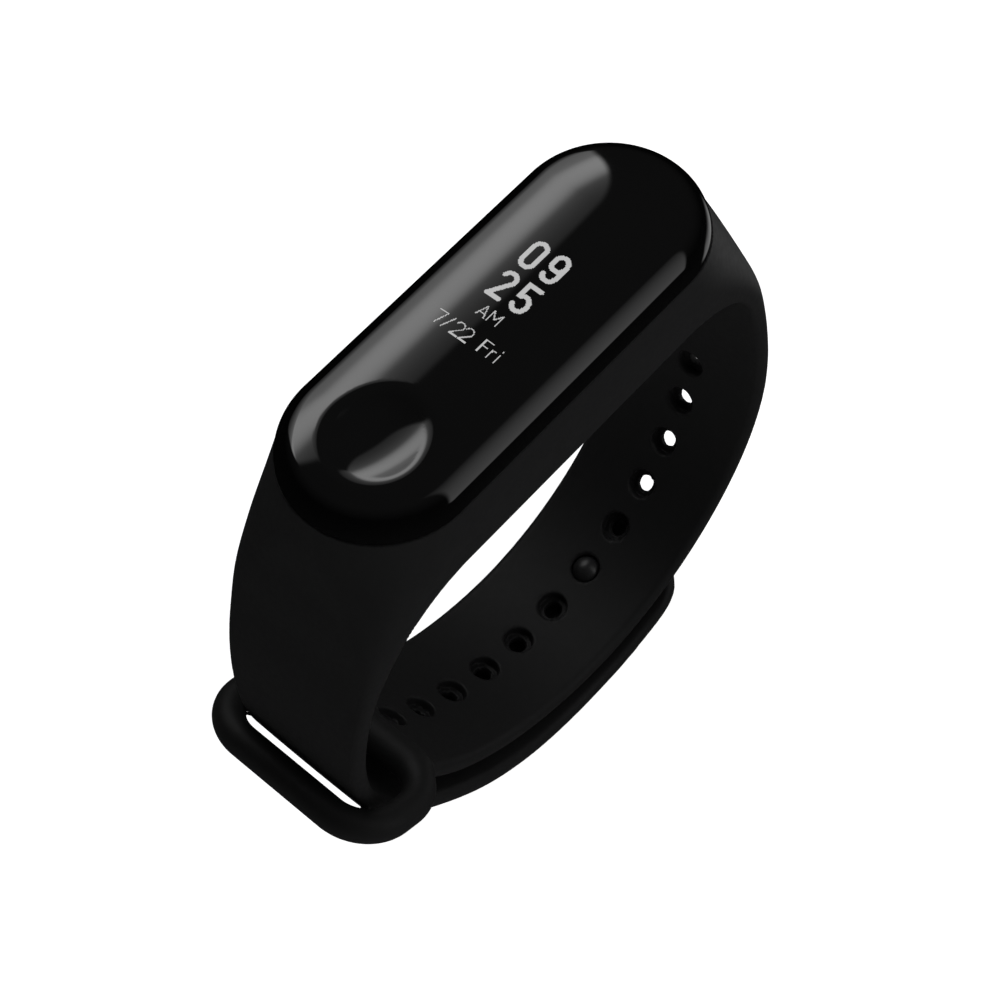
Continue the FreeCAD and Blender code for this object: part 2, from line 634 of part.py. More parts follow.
def make_cradle():
    """Middle of the strap: a tub-shaped wall round the capsule that runs out into both arms."""
    wall = new_body("CradleWall")
    sections = [
        rounded_outline(wall, "lip_length", "lip_width", "lip_width / 2 - 0.2", "cradle_top"),
        rounded_outline(wall, "lip_length + 1.0", "cradle_width", "cradle_width / 2 - 1.2",
                        "cradle_top - 2.6"),
        rounded_outline(wall, "lip_length + 2.8", "cradle_width - 0.6", "4.8", "cradle_top - 7.4"),
        rounded_outline(wall, "lip_length + 4.8", "strap_width + 0.8", "2.0", "cradle_top - 12.6"),
        rounded_outline(wall, "foot_length", "strap_width", "0.8", "cradle_foot"),
    ]
    loft = wall.newObject("PartDesign::AdditiveLoft", "CradleLoft")
    loft.Profile = sections[0]
    loft.Sections = sections[1:]
    doc.recompute()

    side = new_body("CradleSide")
    sketch = sketch_on(side, "XZ_Plane", "CradleSideOutline")
    thickness = size("strap_thickness")
    above = size("cradle_top") + 1
    outside = []
    for curve, reach in ((hole_arm, HOLE_SIDE_REACH), (button_arm, BUTTON_SIDE_REACH)):
        beyond = curve.at(reach, thickness + 2)[0]
        curve.draw_face(sketch, 0.0, reach, 0.0)
        sketch.addGeometry(Part.LineSegment(curve.at(reach)[0], beyond))
        sketch.addGeometry(Part.LineSegment(beyond, Vector(beyond.x, above, 0)))
        outside.append(beyond.x)
    sketch.addGeometry(Part.LineSegment(Vector(outside[0], above, 0), Vector(outside[1], above, 0)))
    sketch.addGeometry(Part.LineSegment(hole_arm.at(0.0)[0], button_arm.at(0.0)[0]))
    pad = side.newObject("PartDesign::Pad", "CradleSidePad")
    pad.Profile = sketch
    pad.SideType = "Symmetric"
    bind(pad, Length="cradle_width + 2")
    doc.recompute()
    trimmed = doc.addObject("Part::Common", "CradleTrimmed")
    trimmed.Base = wall
    trimmed.Tool = side

    pocket = new_body("CapsulePocket")
    slot_pad(pocket, "shell_length + 2 * pocket_gap", "shell_width + 2 * pocket_gap",
             "shell_bottom - pocket_gap", "shell_top + 2")
    round_edges(pocket, "shell_round + pocket_gap", at_level("shell_bottom - pocket_gap"))
    finish(cut("Cradle", trimmed, pocket), "strap_cradle")


def hole_distance(number):
    return size("first_hole") + number * size("hole_pitch")


def make_hole_arm():
    """Arm with the row of adjusting holes, in two lengths of one moulding."""
    punches = []
    recess = size("hole_recess")
    through = size("strap_thickness") + 0.5
    for number in range(HOLE_COUNT):
        distance = hole_distance(number)
        stretched = number == HOLE_IN_USE
        neck = "hole_radius" if stretched else "hole_neck_radius"
        punches.append(across(f"HoleNeck{number + 1}", hole_arm, distance, -0.5, through, neck))
        punches.append(across(f"HoleRecess{number + 1}", hole_arm, distance, -0.5, recess,
                              "hole_radius"))
    punch = fuse("HolePunches", punches)
    middle = hole_distance(2) + size("hole_pitch") / 2
    end = hole_arm.length - 1.0
    upper = band_body("UpperHoleArm", hole_arm, HOLE_SIDE_REACH, middle, "strap_thickness", "strap_width")
    lower = band_body("LowerHoleArm", hole_arm, middle, end, "strap_thickness", "arm_width")
    finish(cut("UpperHoleArmPunched", upper, punch), "hole_arm_upper")
    finish(cut("LowerHoleArmPunched", lower, punch), "hole_arm_lower")


def make_keeper():
    """Keeper loop at the end of the hole arm: a round bar bent to a rounded rectangle."""
    body = new_body("KeeperLoop")
    route = sketch_on(body, "XY_Plane", "KeeperRoute")
    bar = size("keeper_radius")
    half = size("keeper_width") / 2 - bar
    reach = size("keeper_reach")
    corner = size("keeper_corner")
    rest = corner * (1 - math.sqrt(0.5))
    route.addGeometry(Part.LineSegment(Vector(0, -half + corner, 0), Vector(0, half - corner, 0)))
    route.addGeometry(Part.Arc(Vector(0, half - corner, 0), Vector(-rest, half - rest, 0),
                               Vector(-corner, half, 0)))
    route.addGeometry(Part.LineSegment(Vector(-corner, half, 0), Vector(-reach + corner, half, 0)))
    route.addGeometry(Part.Arc(Vector(-reach + corner, half, 0), Vector(-reach + rest, half - rest, 0),
                               Vector(-reach, half - corner, 0)))
    route.addGeometry(Part.LineSegment(Vector(-reach, half - corner, 0),
                                       Vector(-reach, -half + corner, 0)))
    route.addGeometry(Part.Arc(Vector(-reach, -half + corner, 0), Vector(-reach + rest, -half + rest, 0),
                               Vector(-reach + corner, -half, 0)))
    route.addGeometry(Part.LineSegment(Vector(-reach + corner, -half, 0), Vector(-corner, -half, 0)))
    route.addGeometry(Part.Arc(Vector(-corner, -half, 0), Vector(-rest, -half + rest, 0),
                               Vector(0, -half + corner, 0)))
    section = sketch_on(body, "XZ_Plane", "BarSection")
    section.addGeometry(Part.Circle(Vector(0, 0, 0), Vector(0, 0, 1), bar))
    section.addConstraint(Sketcher.Constraint("Radius", 0, bar))
    section.renameConstraint(0, "bar_radius")
    bind(section, Constraints__bar_radius="keeper_radius")
    pipe = body.newObject("PartDesign::AdditivePipe", "KeeperBar")
    pipe.Profile = section
    pipe.Spine = route
    doc.recompute()

    end, heading = hole_arm.at(hole_arm.length - 1.0, size("strap_thickness") / 2)
    along = Vector(math.cos(heading), math.sin(heading), 0)
    middle = end + along * (bar - size("keeper_sink"))
    body.Placement = FreeCAD.Placement(Vector(middle.x, 0, middle.y),
                                       Rotation(Vector(0, 1, 0), size("keeper_tilt")))
    trim = band_body("KeeperTrim", hole_arm, hole_arm.length - size("keeper_trim"), hole_arm.length - 1.0,
                     "strap_thickness", "arm_width")
    finish(cut("KeeperTrimmed", body, trim), "keeper_loop")


def make_button_arm():
    """Arm that carries the stud: a fixed length through the keeper and a tail that peels away."""
    bore_tool = across("StudBore", button_arm, STUD_DISTANCE, -0.5, size("tail_thickness") + 0.5,
                       "stud_shank_radius")
    recess_tool = across("StudCapRecess", button_arm, STUD_DISTANCE,
                         size("tail_thickness") - size("stud_cap_height"),
                         size("tail_thickness") + 0.5, "stud_cap_radius")
    finish(band_body("ButtonArm", button_arm, BUTTON_SIDE_REACH, TAIL_START, "tail_thickness",
                     "arm_width - 0.8"), "button_arm")
    finish(band_body("TailRoot", button_arm, TAIL_START, TAIL_HINGE, "tail_thickness",
                     "tail_width - 0.2"), "tail_root")
    finish(band_body("TailMiddle", button_arm, TAIL_HINGE, TIP_HINGE, "tail_thickness", "tail_width"),
           "tail_middle")
    tip = band_body("TailTip", button_arm, TIP_HINGE, button_arm.length, "tail_thickness", "tail_width")
    end_point = button_arm.at(button_arm.length, size("tail_thickness") / 2)[0]

    def at_tip_corner(edge):
        middle = edge.CenterOfMass
        short = edge.Length < size("tail_thickness") + 0.1
        return short and math.hypot(middle.x - end_point.x, middle.z - end_point.y) < 0.2
    round_edges(tip, "tail_tip_round", at_tip_corner)
    finish(cut("TailTipBored", tip, fuse("StudTools", [bore_tool, recess_tool])), "tail_tip")


def stud_distance():
    """Distance along the button arm at which its stud faces the hole in use."""
    hole, heading = hole_arm.at(hole_distance(HOLE_IN_USE))
    outward = hole_arm.outward(heading)
    sideways = Vector(-outward.y, outward.x, 0)
    low = TIP_HINGE
    high = button_arm.length
    for _ in range(60):
        middle = (low + high) / 2
        offset = (button_arm.at(middle)[0] - hole).dot(sideways)
        if offset * (button_arm.at(high)[0] - hole).dot(sideways) > 0:
            high = middle
        else:
            low = middle
    return (low + high) / 2


STUD_DISTANCE = stud_distance()


def make_stud():
    """Closing stud, a turned mushroom through the tail, and the cap that holds it outside."""
    body = new_body("StudTurned")
    sketch = sketch_on(body, "XZ_Plane", "StudHalfSection")
    tail_inner, heading = button_arm.at(STUD_DISTANCE)
    hole, _ = hole_arm.at(hole_distance(HOLE_IN_USE))
    reach = (tail_inner - hole).Length
    shank = size("stud_shank_radius")
    head = size("stud_head_radius")
    foot = size("tail_thickness") - size("stud_cap_height")
    top = reach + 0.35
    under = top - size("stud_head_height")
    edge = top - 0.75
    points = [Vector(0, -foot, 0), Vector(shank, -foot, 0), Vector(shank, under, 0),
              Vector(head, under + 0.2, 0), Vector(head, edge, 0)]
    for start, stop in zip(points[:-1], points[1:]):
        sketch.addGeometry(Part.LineSegment(start, stop))
    rise = top - edge
    dome = (head ** 2 + rise ** 2) / (2 * rise)
    halfway = math.asin(head / dome) / 2
    on_dome = Vector(dome * math.sin(halfway), top - dome * (1 - math.cos(halfway)), 0)
    sketch.addGeometry(Part.Arc(points[-1], on_dome, Vector(0, top, 0)))
    sketch.addGeometry(Part.LineSegment(Vector(0, top, 0), points[0]))
    turn = body.newObject("PartDesign::Revolution", "StudTurning")
    turn.Profile = sketch
    turn.ReferenceAxis = (sketch, ["V_Axis"])
    turn.Angle = 360
    doc.recompute()
    outward = button_arm.outward(heading)
    inward = Vector(-outward.x, 0, -outward.y)
    body.Placement = FreeCAD.Placement(Vector(tail_inner.x, 0, tail_inner.y),
                                       Rotation(Vector(0, 0, 1), inward))
    finish(group("ClosingStud", [body]), "closing_stud")
    thickness = size("tail_thickness")
    cap = across("StudCap", button_arm, STUD_DISTANCE, thickness - size("stud_cap_height"),
                 thickness + 0.15, "stud_cap_radius")
    finish(group("ClosingStudCap", [cap]), "closing_stud_cap")


dome_height = make_cover()
make_display()
make_frame()
make_board()
make_battery()
make_motor()
make_shell()
make_sensor()
make_cradle()
make_hole_arm()
make_keeper()
make_button_arm()
make_stud()
doc.recompute()

for item in doc.Objects:
    if "Invalid" in item.State or "Error" in item.State:
        raise RuntimeError(f"{item.Name} failed: {item.State}")
for item in finished:
    if item.Shape.isNull() or not item.Shape.isValid() or not item.Shape.Solids:
        raise RuntimeError(f"{item.Label} has no valid solid")

os.makedirs("parts", exist_ok=True)
total = FreeCAD.BoundBox()
for item in finished:
    item.Shape.exportStep(f"parts/{item.Label}.step")
    total.add(item.Shape.BoundBox)
print(f"{len(finished)} nodes, box {total}, dome height {dome_height:.2f}")
for distance in (TAIL_HINGE, TIP_HINGE):
    point = button_arm.at(distance, size("tail_thickness"))[0]
    print(f"hinge at x {point.x + size('datum_x'):.3f} z {point.y + size('datum_z'):.3f} mm")
print(f"stud at {STUD_DISTANCE:.2f} mm along the button arm")
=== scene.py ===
import math
import bpy
import bmesh
import numpy as np
from mathutils import Matrix, Vector


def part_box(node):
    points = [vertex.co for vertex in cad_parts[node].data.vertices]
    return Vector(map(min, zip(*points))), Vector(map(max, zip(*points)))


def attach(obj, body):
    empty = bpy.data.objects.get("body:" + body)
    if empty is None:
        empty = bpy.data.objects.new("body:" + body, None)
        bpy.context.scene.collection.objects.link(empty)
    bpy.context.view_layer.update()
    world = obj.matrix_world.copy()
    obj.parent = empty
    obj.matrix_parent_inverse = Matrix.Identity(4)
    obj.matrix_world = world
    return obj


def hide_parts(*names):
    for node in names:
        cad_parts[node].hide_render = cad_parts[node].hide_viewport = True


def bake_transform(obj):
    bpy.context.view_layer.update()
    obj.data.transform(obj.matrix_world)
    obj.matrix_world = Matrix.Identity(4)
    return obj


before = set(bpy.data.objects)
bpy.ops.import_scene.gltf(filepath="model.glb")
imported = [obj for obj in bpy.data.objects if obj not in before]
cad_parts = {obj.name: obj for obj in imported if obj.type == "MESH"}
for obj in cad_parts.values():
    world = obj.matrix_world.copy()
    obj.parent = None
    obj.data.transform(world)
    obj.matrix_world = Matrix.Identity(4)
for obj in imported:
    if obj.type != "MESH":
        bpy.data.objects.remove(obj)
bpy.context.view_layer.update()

scene = bpy.context.scene
scene.view_settings.view_transform = "Standard"

# Fitness tracker band. Shapes are worked out in millimetres in the capsule's own frame: X along the
# capsule, Y across the strap, Z up, with the origin at the centre of the capsule's widest outline.
# placed() turns them into metres in the model's frame.
MM = 0.001
cover_low, cover_high = (np.array(corner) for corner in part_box("cover_lens"))
SKIRT_DEPTH = 0.9
DATUM = np.array([(cover_low[0] + cover_high[0]) / 2, 0.0, cover_low[2] + SKIRT_DEPTH * MM])


def placed(points):
    """Capsule-frame millimetres to model metres."""
    return np.asarray(points, float) * MM + DATUM


# ---------- sizes
# These are the CAD's sizes, except that the holes' necks are narrower here.
CAPSULE_LENGTH = 46.9
CAPSULE_WIDTH = 17.9
CROWN_RADIUS = 40.0
CROWN_REACH = 7.0
EDGE_RADIUS = 2.36
DIMPLE_X = -15.2
DIMPLE_REACH = 5.3
DIMPLE_DEPTH = 0.85
COVER_WALL = 1.25
WINDOW_LEVEL = 0.9

ARM_START = (14.5, -8.2)
HOLE_ARM_ARCS = [(10.5, -67.5), (44.0, -23.5), (25.0, -52.5), (22.5, -45.5), (30.0, -54.0)]
BUTTON_ARM_ARCS = [(10.5, 60.0), (34.5, 34.5), (23.5, 41.0), (40.5, 20.0), (29.5, 55.0)]
FIRST_HOLE = 33.95
HOLE_PITCH = 5.43
HOLE_COUNT = 12
HOLE_IN_USE = 5
HOLE_RADIUS = 1.5
HOLE_NECK_RADIUS = 0.84
HOLE_RECESS = 1.0
KEEPER_RADIUS = 1.62
KEEPER_HALF_WIDTH = 11.6
KEEPER_REACH = 10.5
KEEPER_CORNER = 4.4
KEEPER_TILT = math.radians(24)
KEEPER_SINK = 0.35
KEEPER_INSET = 1.0
SHELL_LENGTH = 45.8
SHELL_WIDTH = 16.8
SHELL_BOTTOM = -9.05
SHELL_ROUND = 3.4
POCKET_GAP = 0.12
TIP_HINGE = 75.0
TAIL_TIP_ROUND = 6.5

# ---------- strap sections
# Cradle outlines from the lip down: level, reach towards +X, reach towards -X, half width, corner.
CRADLE_LIP = -0.15
CRADLE_LEVELS = (
    (CRADLE_LIP, 23.5, 23.5, 9.0, 8.95),
    (-3.4, 24.6, 24.4, 9.35, 8.2),
    (-8.2, 25.6, 25.4, 9.15, 4.8),
    (-13.4, 26.9, 26.9, 8.75, 2.2),
    (-21.0, 28.1, 28.4, 8.45, 1.0),
    (-30.0, 29.2, 29.4, 8.4, 0.9))
CRADLE_EDGE_ROUND = 0.35
CRADLE_LIP_ROUND = 0.06
POCKET_EDGE_ROUND = 0.1
# Along an arm: distance from its start, value.
HOLE_ARM_THICKNESS = ((0.0, 3.2), (12.0, 2.7), (20.0, 1.9), (30.0, 1.8), (120.0, 1.8))
HOLE_ARM_HALF_WIDTH = (
    (0.0, 8.6), (20.0, 8.45), (40.0, 8.3), (60.0, 8.1), (80.0, 8.0), (110.0, 8.0))
BUTTON_ARM_THICKNESS = ((0.0, 3.2), (10.0, 2.5), (18.0, 1.95), (40.0, 1.9), (120.0, 1.9))
BUTTON_ARM_HALF_WIDTH = (
    (0.0, 8.6), (18.0, 8.25), (34.0, 7.7), (46.0, 7.7), (58.0, 8.8), (75.0, 8.95), (100.0, 8.9))
EDGE_ROUND = 0.85
ARM_CROWN = 0.1
ARM_CROWN_HALF_WIDTH = 8.5
MID_DEPTH = 0.9
# Where each arm's section grows out of the cradle's wall: first and last distance along.
HOLE_MORPH = (11.0, 21.0)
BUTTON_MORPH = (9.5, 19.0)
CRADLE_FLOOR = -26.0
ARM_END_PAST = 0.2
ARM_END_ROUND = 0.5
HOLE_RIM_ROUND = 0.22
KEEPER_FILLET = 1.6
# The tail's rounded tip: half the length of its outline, how far the outline stands outside the
# tail's edges, and the length over which it is cut.
TAIL_TIP_REACH = 20.0
TAIL_TIP_MARGIN = 0.6
TAIL_TIP_ZONE = 10.0
# Meshing: lattice pitch, and the box that holds the strap.
FINE = 0.3
STRAP_LOW = (-34, -12, -62)
STRAP_HIGH = (31, 12, 0)
# Distances along the button arm at which the tail is cut into pieces.
TAIL_CUT = 50.0
TAIL_SPLIT = 66.5
CUT_REACH = 1.5


# ---------- distance fields
# Each soft shape is a signed distance field, negative inside, so that joins and edges round off the
# way a moulding does. surface_of() turns a field into a closed mesh.

def round_max(a, b, radius):
    """Overlap of two fields with its edge rounded to a radius."""
    u = np.maximum(a + radius, 0.0)
    v = np.maximum(b + radius, 0.0)
    return np.minimum(np.maximum(a, b), -radius) + np.hypot(u, v)


def round_min(a, b, radius):
    """Union of two fields with a fillet of a radius."""
    return -round_max(-a, -b, radius)


def smooth_step(value, low, high):
    """Rise from 0 to 1 between two limits."""
    t = np.clip((value - low) / (high - low), 0.0, 1.0)
    return t * t * (3.0 - 2.0 * t)


def rounded_box(a, b, half_a, half_b, radius):
    """Distance to a rounded rectangle in two coordinates."""
    qa = np.abs(a) - half_a + radius
    qb = np.abs(b) - half_b + radius
    outside = np.hypot(np.maximum(qa, 0.0), np.maximum(qb, 0.0))
    return outside + np.minimum(np.maximum(qa, qb), 0.0) - radius


def slot(x, y, length, width):
    """Distance to a slot outline along X."""
    reach = (length - width) / 2
    return np.hypot(np.maximum(np.abs(x) - reach, 0.0), y) - width / 2


def read(table, value, column=1):
    """Smoothly read a table of rows sorted by their first entry, either way up."""
    rows = np.array(sorted(table))
    at = rows[:, 0]
    out = rows[:, column]
    k = np.clip(np.searchsorted(at, value) - 1, 0, len(at) - 2)
    t = np.clip((value - at[k]) / (at[k + 1] - at[k]), 0.0, 1.0)
    slopes = np.gradient(out, at)
    gap = at[k + 1] - at[k]
    t2 = t * t
    t3 = t2 * t
    return ((2 * t3 - 3 * t2 + 1) * out[k] + (t3 - 2 * t2 + t) * gap * slopes[k]
            + (3 * t2 - 2 * t3) * out[k + 1] + (t3 - t2) * gap * slopes[k + 1])


class ArmCurve:
    """An arm's inner face, tangent arcs in the XZ plane that start level under the cradle."""

    OVERRUN = 0.6  # angle by which the first and the last arc go on past the arm's ends

    def __init__(self, arcs, direction):
        self.side = -1.0 if direction > 0 else 1.0
        x, z = direction * ARM_START[0], ARM_START[1]
        heading = 0.0 if direction > 0 else math.pi
        start = 0.0
        self.arcs = []
        for radius, turn in arcs:
            angle = math.radians(turn)
            centre = (x - self.side * radius * math.sin(heading),
                      z + self.side * radius * math.cos(heading))
            self.arcs.append((start, radius, abs(angle), heading, centre))
            heading += angle
            x = centre[0] + self.side * radius * math.sin(heading)
            z = centre[1] - self.side * radius * math.cos(heading)
            start += radius * abs(angle)
        self.length = start

    def at(self, distance, depth=0.0):
        """Point (x, z), heading and outward direction at a distance along and a depth outside."""
        for start, radius, sweep, heading, centre in self.arcs:
            if distance <= start + radius * sweep or start == self.arcs[-1][0]:
                now = heading + self.side * (distance - start) / radius
                outward = np.array([self.side * math.sin(now), -self.side * math.cos(now)])
                return np.array(centre) + outward * (radius + depth), now, outward

    def unroll(self, x, z):
        """Distance along the arm and depth outside its inner face for many points."""
        best = np.full(np.shape(x), 1e9)
        along = np.zeros(np.shape(x))
        depth = np.zeros(np.shape(x))
        last = len(self.arcs) - 1
        for k, (start, radius, sweep, heading, centre) in enumerate(self.arcs):
            dx, dz = x - centre[0], z - centre[1]
            bearing = np.arctan2(self.side * dx, -self.side * dz)
            turned = self.side * (bearing - heading)
            turned = turned - 2 * np.pi * np.round((turned - sweep / 2) / (2 * np.pi))
            here = np.hypot(dx, dz) - radius
            low = -self.OVERRUN if k == 0 else 0.0
            high = sweep + self.OVERRUN if k == last else sweep
            held = np.clip(turned, low, high)
            past = np.abs(turned - held)
            miss = np.sqrt(here ** 2 + 2 * radius * (radius + here) * (1 - np.cos(past)))
            closer = miss < best
            best = np.where(closer, miss, best)
            along = np.where(closer, start + radius * held, along)
            depth = np.where(closer, np.where(past > 0, miss, here), depth)
        return along, depth


hole_arm = ArmCurve(HOLE_ARM_ARCS, 1)
button_arm = ArmCurve(BUTTON_ARM_ARCS, -1)


def cradle_field(x, y, z, inner):
    """Tub-shaped wall round the capsule, open below, without its pocket."""
    level = np.clip(z, CRADLE_LEVELS[-1][0], CRADLE_LEVELS[0][0])
    ahead = read(CRADLE_LEVELS, level, 1)
    behind = read(CRADLE_LEVELS, level, 2)
    half_width = read(CRADLE_LEVELS, level, 3)
    corner = read(CRADLE_LEVELS, level, 4)
    wall = rounded_box(x - (ahead - behind) / 2, y, (ahead + behind) / 2, half_width, corner)
    wall = round_max(wall, -inner, CRADLE_EDGE_ROUND)
    return round_max(wall, z - CRADLE_LIP, CRADLE_LIP_ROUND)


def arm_field(along, depth, y, thickness, half_width):
    """Section of an arm: flat inside, faintly crowned outside, edges nearly half round."""
    thick = read(thickness, along) + ARM_CROWN * (1.0 - (y / ARM_CROWN_HALF_WIDTH) ** 2)
    return rounded_box(depth - thick / 2, y, thick / 2, read(half_width, along), EDGE_ROUND)


def pocket_field(x, y, z):
    """Space the capsule fills."""
    wall = slot(x, y, SHELL_LENGTH + 2 * POCKET_GAP, SHELL_WIDTH + 2 * POCKET_GAP)
    return round_max(wall, SHELL_BOTTOM - POCKET_GAP - z, SHELL_ROUND + POCKET_GAP)


def holes_field(along, depth, y):
    """The adjusting holes, each a wide recess from inside and a neck, which the stud stretches."""
    number = np.clip(np.round((along - FIRST_HOLE) / HOLE_PITCH), 0, HOLE_COUNT - 1)
    off_axis = np.hypot(along - FIRST_HOLE - number * HOLE_PITCH, y)
    recess = np.maximum(off_axis - HOLE_RADIUS, depth - HOLE_RECESS)
    neck = np.where(number == HOLE_IN_USE, HOLE_RADIUS, HOLE_NECK_RADIUS)
    return np.minimum(recess, off_axis - neck)


def keeper_axes():
    """Origin and X and Z axes, as (x, z) pairs, of the keeper loop's own plane."""
    end, heading, _ = hole_arm.at(hole_arm.length - KEEPER_INSET, MID_DEPTH)
    onward = np.array([math.cos(heading), math.sin(heading)])
    middle = end + onward * (KEEPER_RADIUS - KEEPER_SINK)
    ahead = np.array([math.cos(KEEPER_TILT), -math.sin(KEEPER_TILT)])
    up = np.array([math.sin(KEEPER_TILT), math.cos(KEEPER_TILT)])
    return middle, ahead, up


KEEPER_ORIGIN, KEEPER_AHEAD, KEEPER_UP = keeper_axes()


def keeper_field(x, y, z):
    """Round bar bent to a rounded rectangle."""
    dx, dz = x - KEEPER_ORIGIN[0], z - KEEPER_ORIGIN[1]
    along = dx * KEEPER_AHEAD[0] + dz * KEEPER_AHEAD[1]
    above = dx * KEEPER_UP[0] + dz * KEEPER_UP[1]
    half_reach = KEEPER_REACH / 2
    route = rounded_box(along + half_reach, y, half_reach, KEEPER_HALF_WIDTH - KEEPER_RADIUS,
                        KEEPER_CORNER)
    return np.hypot(route, above) - KEEPER_RADIUS


def cradle_to_arm(cradle, arm, own_half, z, along, morph):
    """The cradle's wall on the other half, turning into the arm along its own half."""
    share = smooth_step(along, *morph)
    wall = np.where(own_half, cradle * (1 - share) + arm * share, cradle)
    return np.where(z > CRADLE_FLOOR, wall, arm)


def tail_tip_field(along, y):
    """Outline of the button arm's rounded tip, seen flat."""
    half_width = read(BUTTON_ARM_HALF_WIDTH, button_arm.length) + TAIL_TIP_MARGIN
    return rounded_box(along - button_arm.length + TAIL_TIP_REACH, y, TAIL_TIP_REACH, half_width,
                       TAIL_TIP_ROUND + TAIL_TIP_MARGIN)


def strap_layers(points):
    """Fields of the strap's hole side, with the keeper, and of its button side."""
    x, y, z = points[:, 0], points[:, 1], points[:, 2]
    hole_along, hole_depth = hole_arm.unroll(x, z)
    button_along, button_depth = button_arm.unroll(x, z)
    under = z - ARM_START[1]
    inner = np.where(x > ARM_START[0], hole_depth, np.where(x < -ARM_START[0], button_depth, under))
    cradle = cradle_field(x, y, z, inner)

    hole_side = arm_field(hole_along, hole_depth, y, HOLE_ARM_THICKNESS, HOLE_ARM_HALF_WIDTH)
    hole_side = cradle_to_arm(cradle, hole_side, x > 0, z, hole_along, HOLE_MORPH)
    hole_side = round_max(hole_side, hole_along - hole_arm.length - ARM_END_PAST, ARM_END_ROUND)
    hole_side = round_min(hole_side, keeper_field(x, y, z), KEEPER_FILLET)
    hole_side = round_max(hole_side, -holes_field(hole_along, hole_depth, y), HOLE_RIM_ROUND)

    button_side = arm_field(button_along, button_depth, y, BUTTON_ARM_THICKNESS,
                            BUTTON_ARM_HALF_WIDTH)
    button_side = cradle_to_arm(cradle, button_side, x < 0, z, button_along, BUTTON_MORPH)
    tipped = round_max(button_side, tail_tip_field(button_along, y), EDGE_ROUND)
    at_tip = button_along > button_arm.length - TAIL_TIP_ZONE
    button_side = np.where(at_tip, tipped, button_side)

    pocket = pocket_field(x, y, z)
    return (round_max(hole_side, -pocket, POCKET_EDGE_ROUND),
            round_max(button_side, -pocket, POCKET_EDGE_ROUND))


def strap_field(points):
    """The whole strap."""
    return np.minimum(*strap_layers(points))


# ---------- meshing a field

BLOCK = 4
NEAR_BLOCKS = 1.25
BATCH = 400000
PULL_ROUNDS = 3
LEAST_STEEPNESS = 0.3


def slopes_of(field, points, step=0.01):
    """Gradient of a field by central differences."""
    out = np.empty_like(points)
    for axis in range(3):
        offset = np.zeros(3)
        offset[axis] = step
        out[:, axis] = (field(points + offset) - field(points - offset)) / (2 * step)
    return out


def grid(counts):
    """Every whole-number place in a box, one row each."""
    return np.stack(np.meshgrid(*[np.arange(n) for n in counts], indexing="ij"), -1).reshape(-1, 3)


def lattice_values(field, low, counts, pitch):
    """The field on a lattice, exact near its surface and only signed elsewhere."""
    blocks = np.ceil(np.array(counts) / BLOCK).astype(int)
    places = grid(blocks)
    rough = field(low + (places * BLOCK + (BLOCK - 1) / 2) * pitch).astype(np.float32)
    near = np.abs(rough) < BLOCK * pitch * NEAR_BLOCKS
    values = rough.reshape(blocks)
    for axis in range(3):
        values = np.repeat(values, BLOCK, axis)
    nodes = (places[near][:, None, :] * BLOCK + grid([BLOCK] * 3)[None]).reshape(-1, 3)
    for part in np.array_split(nodes, max(1, len(nodes) // BATCH)):
        values[part[:, 0], part[:, 1], part[:, 2]] = field(low + part * pitch)
    return values


def cell_centres(values, cells, corners):
    """For each cell the surface passes through, the mean of its crossings, in lattice units."""
    total = np.zeros((len(cells), 3))
    crossings = np.zeros(len(cells))
    at_corner = {corner: values[tuple((cells + corner).T)] for corner in corners}
    for first in corners:
        for axis in range(3):
            if first[axis]:
                continue
            second = tuple(1 if k == axis else first[k] for k in range(3))
            a, b = at_corner[first], at_corner[second]
            crossed = (a < 0) != (b < 0)
            share = np.where(crossed, a / np.where(crossed, a - b, 1.0), 0.0)
            spot = np.array(first, float) + np.outer(share, np.eye(3)[axis])
            total += np.where(crossed[:, None], spot, 0.0)
            crossings += crossed
    return cells + total / crossings[:, None]


def cell_quads(solid, number):
    """A quad round every lattice edge that the surface crosses, joining its four cells."""
    size = solid.shape
    quads = []
    for axis in range(3):
        u, v = (axis + 1) % 3, (axis + 2) % 3
        start = [slice(1, n - 1) for n in size]
        start[axis] = slice(0, size[axis] - 1)
        ahead = list(start)
        ahead[axis] = slice(1, size[axis])
        leaves = solid[tuple(start)] & ~solid[tuple(ahead)]
        enters = ~solid[tuple(start)] & solid[tuple(ahead)]
        origin = np.array([s.start for s in start])
        for chosen, flip in ((leaves, False), (enters, True)):
            at = np.argwhere(chosen) + origin
            loop = []
            for du, dv in ((0, 0), (-1, 0), (-1, -1), (0, -1)):
                cell = at.copy()
                cell[:, u] += du
                cell[:, v] += dv
                loop.append(number[tuple(cell.T)])
            loop = np.stack(loop, 1)
            quads.append(loop[:, ::-1] if flip else loop)
    return np.concatenate(quads)


